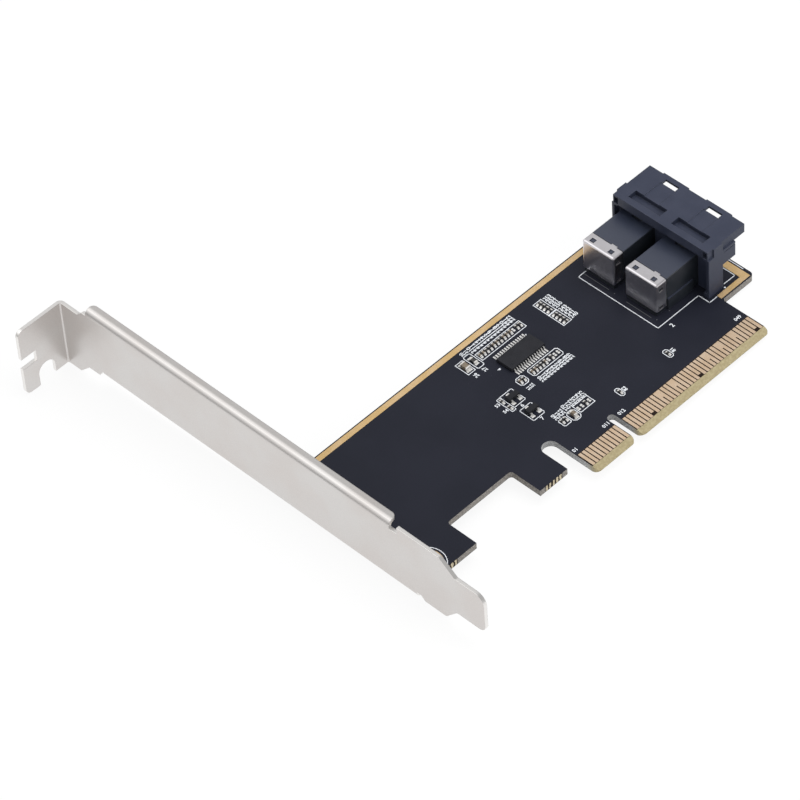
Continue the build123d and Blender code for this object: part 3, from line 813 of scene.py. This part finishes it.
    def side_colour(self, surface: Surface) -> Socket:
        """Colour of the routed sides: layered fibre, milled slots, cut plating stubs and mask lines.

        Args:
            surface: The board's surface.

        Returns:
            The colour.
        """
        x, y, z = surface.axes(surface.place)
        colour, _ = surface.cloud(self.weave_size, self.side, self.side_second, self.side_stretch)
        threads = surface.noise(surface.millimetres(self.thread_stretch), 1.0, 2.0)
        colour = surface.blend(surface.ramp(threads, *self.thread_range), colour, self.side_light)
        smooth, _ = surface.cloud(self.milled_size, self.milled, self.milled_second)
        colour = surface.blend(surface.bands(x, self.stub_soft, *self.milled_slots), colour, smooth)
        on_edge = surface.product(surface.ramp(y, *self.tab_start), surface.fall(y, *self.tab_end))
        on_tab = surface.product(on_edge, surface.bands(x, self.stub_soft, *self.stubs))
        stray = surface.noise(surface.millimetres(self.stub_stretch), self.stub_noise_scale, 2.0)
        along = surface.total(x, self.left_of_board, surface.product(stray, self.stub_wander))
        phase = surface.calculate("MODULO", along, self.stub_pitch)
        stub = surface.bands(phase, self.stub_soft, self.stub_part)
        colour = surface.blend(on_tab, colour, surface.blend(stub, self.stub_gap, self.stub_gold))
        colour = surface.blend(surface.fall(y, *self.warm_range), colour, self.bevel)
        soft = self.mask_line_soft
        high, low = -self.mask_thickness, self.mask_thickness - self.thickness
        near_top = surface.ramp(z, high - soft, high + soft)
        near_bottom = surface.fall(z, low - soft, low + soft)
        line = surface.calculate("MAXIMUM", near_top, near_bottom)
        return surface.blend(surface.product(line, self.mask_line_share), colour, self.mask)


@dataclass
class Print:
    """The white print on the component side: outlines, strokes, dots and plain numbers, and two faint lines
    by the ports that are a painted reflection of the connectors' lower edges in the glossy mask.

    A box holds its lowest and highest X, its lowest and highest Y and what its corners lose. A row of
    numbers holds the first number, how many there are, the first one's centre, the step in X and Y, the
    turn in degrees and the type size.
    """

    thickness: float = 0.02
    stroke: float = 0.17
    ink: Colour = (0.8, 0.82, 0.85)
    ink_worn: Colour = (0.6, 0.63, 0.67)
    ink_cloud_size: float = 0.35
    ink_grain_size: float = 0.06
    ink_grain_tone: float = 0.06
    ink_grain_depth: float = 0.004
    ink_roughness: Range = (0.5, 0.65)
    boxes: tuple[tuple[float, float, float, float, float], ...] = (
        (-5.72, 7.33, 37.7, 40.1, 0.0), (-2.05, 6.9, 26.72, 29.2, 0.45), (-5.67, -3.2, 26.7, 29.2, 0.55),
        (-10.58, -8.42, 37.05, 40.98, 0.0), (-12.05, -10.8, 23.4, 28.1, 0.2), (-8.0, -5.86, 12.75, 15.0, 0.3),
        (-5.65, -3.3, 12.17, 15.2, 0.6), (-3.08, 1.22, 13.02, 15.5, 0.0), (12.3, 14.75, 32.0, 36.35, 0.0),
        (12.3, 14.75, 36.35, 40.8, 0.0), (19.85, 21.3, 9.65, 12.2, 0.4), (5.58, 6.92, 9.75, 12.3, 0.4),
        (-8.02, -6.0, 36.75, 41.3, 0.3),
    )
    fine_paths: tuple[tuple[Point, ...], ...] = (
        ((-10.8, 28.1), (-7.55, 28.1), (-7.55, 27.25)), ((-10.8, 24.0), (-7.6, 24.0), (-7.6, 25.4)),
        ((-7.7, 21.75), (-7.7, 22.6), (-10.92, 22.6), (-10.92, 18.6), (-7.7, 18.6), (-7.7, 20.05)),
    )
    port_stroke: float = 0.2
    port_paths: tuple[tuple[Point, ...], ...] = (
        ((27.2, 39.3), (24.5, 39.3), (24.5, 17.2), (36.8, 17.2), (36.8, 14.15), (39.0, 14.15)),
        ((42.8, 15.5), (46.05, 15.5), (46.05, 42.2)), ((48.55, 15.5), (48.55, 42.0)),
    )
    # Painted reflection: faint grey lines where the connectors' lower edges reflect in the glossy mask, and
    # their tone below.
    foot_reflection_paths: tuple[tuple[Point, ...], ...] = (
        ((25.95, 38.9), (25.95, 32.2)), ((25.75, 27.0), (25.75, 20.3)),
    )
    foot_reflection_tone: Colour = (0.07, 0.073, 0.08)
    dots: tuple[Triple, ...] = ((42.1, 14.7, 0.22), (5.4, 36.2, 0.16))
    faint_dots: tuple[Triple, ...] = ((25.9, 30.5, 0.14), (26.1, 19.0, 0.14), (29.7, 18.8, 0.14))
    dot_rim: float = 0.2
    dot_corners: int = 16
    ring_place: Point = (-52.43, 8.48)
    ring_radius: float = 4.1
    ring_corners: int = 64
    weight: float = 0.022
    curve_steps: int = 2
    contact_numbers: tuple[tuple[str, float, float], ...] = (
        ("01", -11.25, 7.05), ("011", -2.15, 7.05), ("012", 2.45, 7.1), ("049", 37.3, 6.95),
    )
    contact_size: float = 1.22
    number_rows: tuple[tuple[int, int, float, float, float, float, float, float], ...] = (
        (210, 13, -5.15, 41.6, 0.98, 0.0, 90.0, 1.36), (230, 10, -1.5, 25.35, 0.95, 0.0, 90.0, 1.25),
        (20, 2, -7.25, 42.0, 0.98, 0.0, 90.0, 1.15),
        (51, 2, -5.0, 25.55, 1.0, 0.0, 90.0, 1.15), (26, 1, -9.5, 35.9, 1.0, 0.0, 90.0, 1.3),
        (27, 1, -7.1, 35.75, 1.0, 0.0, 90.0, 1.2), (4, 1, -5.2, 33.5, 1.0, 0.0, 90.0, 1.1),
        (53, 2, -12.75, 26.9, 0.0, -2.3, 0.0, 1.15), (6, 1, -9.4, 23.25, 1.0, 0.0, 0.0, 1.3),
        (7, 1, -9.3, 17.8, 1.0, 0.0, 0.0, 1.3), (260, 3, -7.45, 16.1, 1.0, 0.0, 90.0, 1.2),
        (270, 6, -4.2, 16.4, 1.02, 0.0, 90.0, 1.25), (240, 4, 15.95, 32.6, 0.0, 1.03, 0.0, 1.3),
        (250, 4, 15.95, 37.0, 0.0, 1.03, 0.0, 1.3), (81, 1, 21.95, 10.95, 1.0, 0.0, 90.0, 1.3),
        (82, 1, 7.55, 10.95, 1.0, 0.0, 90.0, 1.3), (2, 1, 27.0, 15.6, 1.0, 0.0, 0.0, 1.5),
    )

    def build(self, dresser: Dresser) -> None:
        """Make every printed piece, and the painted reflection lines by the ports.

        Args:
            dresser: What makes materials.
        """
        ink = self.ink_material(dresser, "white_print", self.ink, self.ink_worn)
        # This faint material is the tone of the real faint dots and of the painted reflection lines.
        faint = self.ink_material(dresser, "faint_print_and_painted_reflection", self.foot_reflection_tone, self.foot_reflection_tone)
        for name, parts, material in (
            ("print_part_boxes", [self.box(*box) for box in self.boxes], ink),
            ("print_transistor_marks", self.lines(self.fine_paths, self.stroke), ink),
            ("print_port_outline", self.lines(self.port_paths, self.port_stroke), ink),
            # Painted reflection of the connectors' lower edges, drawn as faint lines.
            ("painted_port_foot_reflections", self.lines(self.foot_reflection_paths, self.stroke), faint),
            ("print_dots", [self.dot(*dot) for dot in self.dots], ink),
            ("print_faint_dots", [self.dot(*dot) for dot in self.faint_dots], faint),
            ("print_mounting_ring", [self.ring()], ink),
            ("print_numbers", self.numbers(), ink),
        ):
            Bench.hand_over(Bench.join(name, parts), material, "board_mask")

    def ink_material(self, dresser: Dresser, name: str, ink: Colour, worn: Colour) -> bpy.types.Material:
        """Screen-printed ink with uneven cover.

        Args:
            dresser: Holds the shared effects.
            name: The material's name.
            ink: Full colour.
            worn: Colour where the ink is thin.

        Returns:
            The material.
        """
        surface = Surface(name, dresser.effects)
        colour, cover = surface.cloud(self.ink_cloud_size, ink, worn)
        colour, height = surface.speckle(colour, self.ink_grain_size, self.ink_grain_tone)
        surface.bump(height, self.ink_grain_depth)
        rough = surface.ramp(cover, 0.0, 1.0, *self.ink_roughness)
        surface.fill(surface.shader, {"Base Color": colour, "Roughness": rough})
        return surface.material

    def hollow(self, piece: bpy.types.Object) -> bpy.types.Object:
        """Keep only a stroke inside the rim of the flat piece in edit mode, and thicken it.

        Args:
            piece: The piece.

        Returns:
            The piece.
        """
        bpy.ops.mesh.inset(thickness=self.stroke * MM, use_boundary=True)
        bpy.ops.mesh.delete(type="FACE")
        Bench.modify(piece, "SOLIDIFY", thickness=self.thickness * MM, offset=1.0)
        return piece

    def box(self, x0: float, x1: float, y0: float, y1: float, chamfer: float) -> bpy.types.Object:
        """One printed outline with cut corners.

        Args:
            x0: Lowest X.
            x1: Highest X.
            y0: Lowest Y.
            y1: Highest Y.
            chamfer: Length that each corner loses.

        Returns:
            The outline.
        """
        Bench.pick()
        bpy.ops.mesh.primitive_plane_add(size=1.0, location=((x0 + x1) / 2 * MM, (y0 + y1) / 2 * MM, 0.0))
        piece = bpy.context.object
        piece.scale = ((x1 - x0) * MM, (y1 - y0) * MM, 1.0)
        Bench.edit(Bench.settle(piece))
        if chamfer > 0:
            bpy.ops.mesh.bevel(offset=chamfer * MM, segments=1, affect="VERTICES")
            bpy.ops.mesh.select_all(action="SELECT")
        return self.hollow(piece)

    def lines(self, paths: Sequence[Sequence[Point]], width: float) -> list[bpy.types.Object]:
        """Printed strokes along runs of points.

        Args:
            paths: The runs.
            width: The stroke's width.

        Returns:
            One block a stroke.
        """
        strokes = []
        for path in paths:
            for (x0, y0), (x1, y1) in zip(path, path[1:]):
                length = math.hypot(x1 - x0, y1 - y0) + width
                turn = math.degrees(math.atan2(y1 - y0, x1 - x0))
                centre = ((x0 + x1) / 2, (y0 + y1) / 2, self.thickness / 2)
                strokes.append(Bench.block(centre, (length, width, self.thickness), turn))
        return strokes

    def disc(self, x: float, y: float, radius: float, corners: int) -> bpy.types.Object:
        """Lay a flat disc and open it in edit mode.

        Args:
            x: Its place in X.
            y: Its place in Y.
            radius: Its radius.
            corners: How many corners its rim has.

        Returns:
            The disc.
        """
        Bench.pick()
        bpy.ops.mesh.primitive_circle_add(
            vertices=corners, radius=radius * MM, fill_type="NGON", location=(x * MM, y * MM, 0.0)
        )
        piece = Bench.settle(bpy.context.object)
        Bench.edit(piece)
        return piece

    def dot(self, x: float, y: float, radius: float) -> bpy.types.Object:
        """One printed dot.

        Args:
            x: Its place in X.
            y: Its place in Y.
            radius: Its radius.

        Returns:
            The dot, with a sloped rim.
        """
        piece = self.disc(x, y, radius, self.dot_corners)
        bpy.ops.mesh.inset(thickness=radius * self.dot_rim * MM)
        bpy.ops.transform.translate(value=(0.0, 0.0, self.thickness * MM))
        return piece

    def ring(self) -> bpy.types.Object:
        """The printed ring round the lower mounting hole."""
        return self.hollow(self.disc(*self.ring_place, self.ring_radius + self.stroke, self.ring_corners))

    def numbers(self) -> list[bpy.types.Object]:
        """Every printed number."""
        digits = [self.number(text, x, y, 0.0, self.contact_size) for text, x, y in self.contact_numbers]
        for first, count, x, y, step_x, step_y, turn, size in self.number_rows:
            for step in range(count):
                place = (x + step * step_x, y + step * step_y)
                digits.append(self.number(str(first + step), *place, turn, size))
        return digits

    def number(self, text: str, x: float, y: float, turn: float, size: float) -> bpy.types.Object:
        """One printed number.

        Args:
            text: Its digits.
            x: Its centre in X.
            y: Its centre in Y.
            turn: Its turn, in degrees.
            size: Its type size.

        Returns:
            The number as a mesh.
        """
        Bench.pick()
        bpy.ops.object.text_add(location=(0.0, 0.0, 0.0))
        data = bpy.context.object.data
        data.body = text
        data.size = size * MM
        data.resolution_u = self.curve_steps
        data.offset = self.weight * size * MM
        data.extrude = self.thickness / 2 * MM
        data.align_x = "CENTER"
        data.align_y = "CENTER"
        bpy.ops.object.convert(target="MESH")
        piece = bpy.context.object
        piece.location = (x * MM, y * MM, self.thickness / 2 * MM)
        piece.rotation_euler.z = math.radians(turn)
        return Bench.settle(piece)


@dataclass
class SolderWork:
    """Tinned pads under the leads and solder fillets at the ends of the small parts.

    A part is given by its kind: c for a capacitor, r for a resistor and b for a bare place.
    """

    pad_height: float = 0.035
    pad_rim: float = 0.22
    pad_crown: float = 0.7
    chip_x: float = 0.7
    chip_y: float = 33.2
    chip_leads: int = 14
    chip_pitch: float = 0.65
    chip_reach: float = 3.05
    chip_pad: Point = (0.36, 1.25)
    transistors: tuple[Point, ...] = ((-9.2, 26.1), (-9.2, 20.8))
    transistor_reach: float = 1.15
    transistor_half_pitch: float = 0.95
    transistor_pad: Point = (0.85, 0.9)
    row_parts: tuple[tuple[str, float, float, float], ...] = (
        ("ccrrccrcccbrr", -5.15, 39.0, 0.98), ("ccrrcbrbb", -1.45, 27.95, 0.95), ("bbrb", -2.55, 14.17, 1.02),
    )
    loose_parts: tuple[tuple[float, float, str], ...] = (
        (-5.0, 27.95, "c"), (-4.0, 27.95, "r"), (-11.5, 26.9, "r"), (-11.5, 24.6, "r"), (-7.4, 14.15, "r"),
        (-6.45, 14.15, "r"), (6.25, 11.0, "r"), (20.5, 10.9, "r"),
    )
    column_x: float = 13.45
    column_y: tuple[float, ...] = (32.55, 33.6, 34.6, 35.55, 37.0, 38.05, 39.05, 40.0)
    part_half: float = 0.5
    fillet_width: float = 0.5
    fillet_reach: float = 0.3
    fillet_flare: float = 1.15
    fillet_round: float = 0.05
    fillet_heights: dict[str, float] = field(default_factory=lambda: {"c": 0.34, "r": 0.25})

    def build(self, dresser: Dresser) -> None:
        """Make the pads and the fillets.

        Args:
            dresser: What makes materials.
        """
        solder = dresser.material(SOLDER)
        Bench.hand_over(self.lead_pads(), solder, "solder")
        Bench.hand_over(self.fillets(), solder, "solder")

    def pad(self, width: float, length: float) -> bpy.types.Object:
        """One pillowed pad round the origin.

        Args:
            width: Its size in X.
            length: Its size in Y.

        Returns:
            The pad.
        """
        piece = Bench.block((0.0, 0.0, self.pad_height / 2), (width, length, self.pad_height))
        Bench.edit_some(piece, "FACE", lambda face: face.normal.z > 0.9)
        bpy.ops.mesh.inset(thickness=min(width, length) * self.pad_rim * MM)
        bpy.ops.transform.translate(value=(0.0, 0.0, self.pad_height * self.pad_crown * MM))
        Bench.pick()
        return piece

    def lead_pads(self) -> bpy.types.Object:
        """The pads that the chip's and the transistors' leads stand on."""
        chip_pad, transistor_pad = self.pad(*self.chip_pad), self.pad(*self.transistor_pad)
        first = self.chip_x - (self.chip_leads - 1) / 2 * self.chip_pitch
        places = []
        for index in range(self.chip_leads):
            for side in (-1, 1):
                spot = (first + index * self.chip_pitch, self.chip_y + side * self.chip_reach)
                places.append((chip_pad, *spot))
        for x, y in self.transistors:
            places.append((transistor_pad, x, y + self.transistor_reach))
            for side in (-1, 1):
                spot = (x + side * self.transistor_half_pitch, y - self.transistor_reach)
                places.append((transistor_pad, *spot))
        pads = [Bench.copy(*place) for place in places]
        for pattern in (chip_pad, transistor_pad):
            bpy.data.objects.remove(pattern)
        return Bench.join("lead_pads", pads)

    def fillet(self, height: float) -> bpy.types.Object:
        """One sloped solder fillet that runs from the origin towards +X.

        Args:
            height: How far it climbs up the part's end.

        Returns:
            The fillet.
        """
        size = (self.fillet_reach, self.fillet_width, height)
        piece = Bench.block((self.fillet_reach / 2, 0.0, height / 2), size)
        middle = Vector(size) / 2 * MM

        def outer_top(edge: bpy.types.MeshEdge) -> bool:
            """Whether an edge is the upper one at the far end."""
            ends = [piece.data.vertices[index].co for index in edge.vertices]
            return all(end.x > middle.x and end.z > middle.z for end in ends)

        Bench.edit_some(piece, "EDGE", outer_top)
        bpy.ops.transform.translate(value=(0.0, 0.0, (self.pad_height - height) * MM))
        bpy.ops.transform.resize(value=(1.0, self.fillet_flare, 1.0))
        Bench.modify(piece, "BEVEL", width=self.fillet_round * MM, segments=2, limit_method="ANGLE")
        return piece

    def fillets(self) -> bpy.types.Object:
        """The fillets at both ends of each fitted small part."""
        patterns = {kind: self.fillet(height) for kind, height in self.fillet_heights.items()}
        places = [(x, y, kind, 90.0) for x, y, kind in self.loose_parts]
        places += [(self.column_x, y, "r", 0.0) for y in self.column_y]
        for kinds, x, y, pitch in self.row_parts:
            places += [(x + index * pitch, y, kind, 90.0) for index, kind in enumerate(kinds)]
        made = []
        for x, y, kind, turn in places:
            if kind not in patterns:
                continue
            for way in (turn, turn + 180.0):
                angle = math.radians(way)
                spot = (x + math.cos(angle) * self.part_half, y + math.sin(angle) * self.part_half)
                made.append(Bench.copy(patterns[kind], *spot, way))
        for pattern in patterns.values():
            bpy.data.objects.remove(pattern)
        return Bench.join("solder_fillets", made)


@dataclass
class PlainNodes:
    """The nodes that take one finish all over."""

    finishes: tuple[tuple[Finish, tuple[str, ...]], ...] = (
        (BRACKET_METAL, ("bracket",)),
        (SCREW_METAL, ("bracket_screws",)),
        (CONTACT_GOLD, ("edge_contacts_front", "edge_contacts_back")),
        (STRIP_GOLD, ("ground_strip", "mounting_pads")),
        (GUIDE_PLASTIC, ("port_guide",)),
        (BODY_PLASTIC, ("port_body_1", "port_body_2")),
        (CAP_METAL, ("port_cap_1", "port_cap_2")),
        (SPRING_GOLD, ("port_contacts_1", "port_contacts_2")),
        (SOLDER, ("port_joints_1", "port_joints_2", "bare_pads")),
        (CHIP_PLASTIC, ("chip_body",)),
        (TRANSISTOR_PLASTIC, ("transistor_bodies",)),
        (LEAD_METAL, ("chip_leads", "transistor_leads")),
        (CERAMIC, ("large_capacitor_bodies", "capacitor_bodies")),
        (END_METAL, ("large_capacitor_ends", "capacitor_ends", "resistor_ends", "bead_ends")),
        (RESISTOR_FILM, ("resistor_bodies", "bead_body")),
    )

    def build(self, dresser: Dresser) -> None:
        """Dress them."""
        for finish, names in self.finishes:
            dresser.dress(dresser.material(finish), *names)


@dataclass(frozen=True)
class Lamp:
    """One soft lamp that faces the card, with angles in degrees, sizes in metres and power in watts."""

    name: str
    heading: float
    height: float
    width: float
    depth: float
    power: float
    distance: float = 0.9

    def build(self, target: Vector) -> None:
        """Place the lamp.

        Args:
            target: What it shines at, in metres.
        """
        data = bpy.data.lights.new(self.name, "AREA")
        data.shape = "RECTANGLE"
        data.size = self.width
        data.size_y = self.depth
        data.energy = self.power
        lamp = bpy.data.objects.new(self.name, data)
        bpy.context.scene.collection.objects.link(lamp)
        bearing, rise = math.radians(self.heading), math.radians(self.height)
        level = math.cos(rise)
        away = Vector((math.cos(bearing) * level, math.sin(bearing) * level, math.sin(rise)))
        lamp.location = target + away * self.distance
        lamp.rotation_mode = "QUATERNION"
        lamp.rotation_quaternion = (-away).to_track_quat("-Z", "Y")
        lamp.visible_glossy = False
        lamp.visible_camera = False
        LOG.info("made %s", self.name)


@dataclass
class Studio:
    """The pale floor that the card rests on, the surrounding light, the lamps and the camera.

    The sky's light is given by how near a direction is to the sky's centre, from -1 to 1. Mirrors see the
    floor's glow fade between two distances, in metres.
    """

    target: Triple = (-5.0, 40.0, 0.0)
    floor_height: float = -3.05
    floor_slope: Point = (0.0282, -0.0358)
    floor_metres: float = 1.4
    floor_grey: float = 0.93
    floor_roughness: float = 0.9
    floor_specular: float = 0.1
    floor_glow: float = 0.9
    floor_fade: Range = (0.12, 0.22)
    floor_dimmest: float = 0.38
    ambient: float = 0.62
    sky_centre: Triple = (-0.3, 0.5, 0.812)
    sky_scale: float = 2.0
    sky: tuple[Point, ...] = (
        (-1.0, 0.6), (0.3, 0.46), (0.56, 0.46), (0.7, 0.73), (0.84, 0.97), (0.94, 1.3), (1.0, 1.62),
    )
    lamps: tuple[Lamp, ...] = (
        Lamp("overhead_softbox", -20.0, 75.0, 0.7, 0.7, 5.0),
        Lamp("front_softbox", -70.0, 30.0, 0.6, 0.5, 2.8),
        Lamp("left_softbox", -160.0, 30.0, 0.5, 0.4, 0.7),
    )
    camera_place: Triple = (-462.129, -436.546, 693.836)
    camera_turn: Triple = (42.9952234, 3.0897742, -45.6990873)
    focal_pixels: float = 4717.55
    frame_pixels: float = 800.0
    sensor: float = 36.0
    clip_metres: Range = (0.05, 10.0)

    def build(self) -> None:
        """Make the whole studio."""
        self.build_floor()
        self.build_world()
        for lamp in self.lamps:
            lamp.build(Vector(self.target) * MM)
        self.build_camera()
        bpy.context.scene.view_settings.view_transform = "Standard"

    def build_floor(self) -> None:
        """Lay the floor on the plane that the card rests on."""
        Bench.pick()
        bpy.ops.mesh.primitive_plane_add(size=self.floor_metres, location=(0.0, 0.0, self.floor_height * MM))
        floor = bpy.context.object
        floor.name = "floor"
        lean = Vector((-self.floor_slope[0], -self.floor_slope[1], 1.0)).normalized()
        floor.rotation_mode = "QUATERNION"
        floor.rotation_quaternion = Vector((0.0, 0.0, 1.0)).rotation_difference(lean)
        floor.data.materials.append(self.floor_material())
        LOG.info("made the floor")

    def floor_material(self) -> bpy.types.Material:
        """White ground that takes shadows, glows for the camera and is clear from below.

        Returns:
            The material.
        """
        material = bpy.data.materials.new("white_sweep")
        material.use_nodes = True
        wiring = Wiring(material.node_tree)
        shader = material.node_tree.nodes["Principled BSDF"]
        wiring.fill(shader, {
            "Base Color": (self.floor_grey,) * 3, "Roughness": self.floor_roughness,
            "Specular IOR Level": self.floor_specular,
        })
        path = wiring.add("ShaderNodeLightPath", {}).outputs
        place = wiring.read("ShaderNodeTexCoord", "Object")
        away = wiring.measure("DISTANCE", place, [value * MM for value in self.target])
        dimming = wiring.ramp(away, *self.floor_fade, 0.0, self.floor_dimmest - 1.0)
        strength = wiring.total(1.0, wiring.product(path["Is Glossy Ray"], dimming))
        glow = wiring.add("ShaderNodeEmission", {"Strength": strength}).outputs[0]
        direct = wiring.calculate("ADD", path["Is Camera Ray"], path["Is Glossy Ray"], True)
        direct = wiring.calculate("ADD", direct, path["Is Transmission Ray"], True)
        shine = wiring.product(direct, self.floor_glow)
        behind = wiring.read("ShaderNodeNewGeometry", "Backfacing")
        clear = wiring.read("ShaderNodeBsdfTransparent", "BSDF")
        surface = shader.outputs["BSDF"]
        for share, other in ((shine, glow), (behind, clear)):
            surface = wiring.add("ShaderNodeMixShader", {0: share, 1: surface, 2: other}).outputs[0]
        wiring.feed(material.node_tree.nodes["Material Output"].inputs["Surface"], surface)
        return material

    def build_world(self) -> None:
        """Surround the card with white, and with a sky that brightens towards one side for metal to show."""
        world = bpy.data.worlds.new("studio")
        bpy.context.scene.world = world
        world.use_nodes = True
        wiring = Wiring(world.node_tree)
        direction = wiring.read("ShaderNodeTexCoord", "Generated")
        towards = wiring.measure("DOT_PRODUCT", direction, self.sky_centre)
        ramp = wiring.add("ShaderNodeValToRGB", {"Fac": wiring.ramp(towards, -1.0, 1.0, shape="LINEAR")})
        stops = ramp.color_ramp.elements
        while len(stops) < len(self.sky):
            stops.new(0.5)
        for stop, (nearness, light) in zip(stops, self.sky):
            stop.position = (nearness + 1.0) / 2.0
            stop.color = (*(light / self.sky_scale,) * 3, 1.0)
        shine = wiring.blend(1.0, ramp.outputs["Color"], (self.sky_scale,) * 3, "MULTIPLY")
        path = wiring.add("ShaderNodeLightPath", {}).outputs
        light = wiring.blend(path["Is Glossy Ray"], (self.ambient,) * 3, shine)
        clear = wiring.calculate("ADD", path["Is Camera Ray"], path["Is Transmission Ray"], True)
        colour = wiring.blend(clear, light, (1.0, 1.0, 1.0))
        wiring.fill(world.node_tree.nodes["Background"], {"Color": colour, "Strength": 1.0})
        LOG.info("made the world")

    def build_camera(self) -> None:
        """Add the camera at the photograph's viewpoint."""
        data = bpy.data.cameras.new("viewpoint")
        data.sensor_fit = "HORIZONTAL"
        data.sensor_width = self.sensor
        data.lens = self.focal_pixels / self.frame_pixels * self.sensor
        data.clip_start, data.clip_end = self.clip_metres
        camera = bpy.data.objects.new("viewpoint", data)
        bpy.context.scene.collection.objects.link(camera)
        camera.location = Vector(self.camera_place) * MM
        camera.rotation_euler = [math.radians(angle) for angle in self.camera_turn]
        bpy.context.scene.camera = camera
        LOG.info("made the camera, lens %.2f mm", data.lens)


def main() -> None:
    """Build the scene in order."""
    logging.basicConfig(level=logging.INFO, format="%(name)s: %(message)s")
    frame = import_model()
    dresser = Dresser(frame)
    PlainNodes().build(dresser)
    Board().build(dresser)
    Print().build(dresser)
    SolderWork().build(dresser)
    Studio().build()


if __name__ == "__main__":
    main()
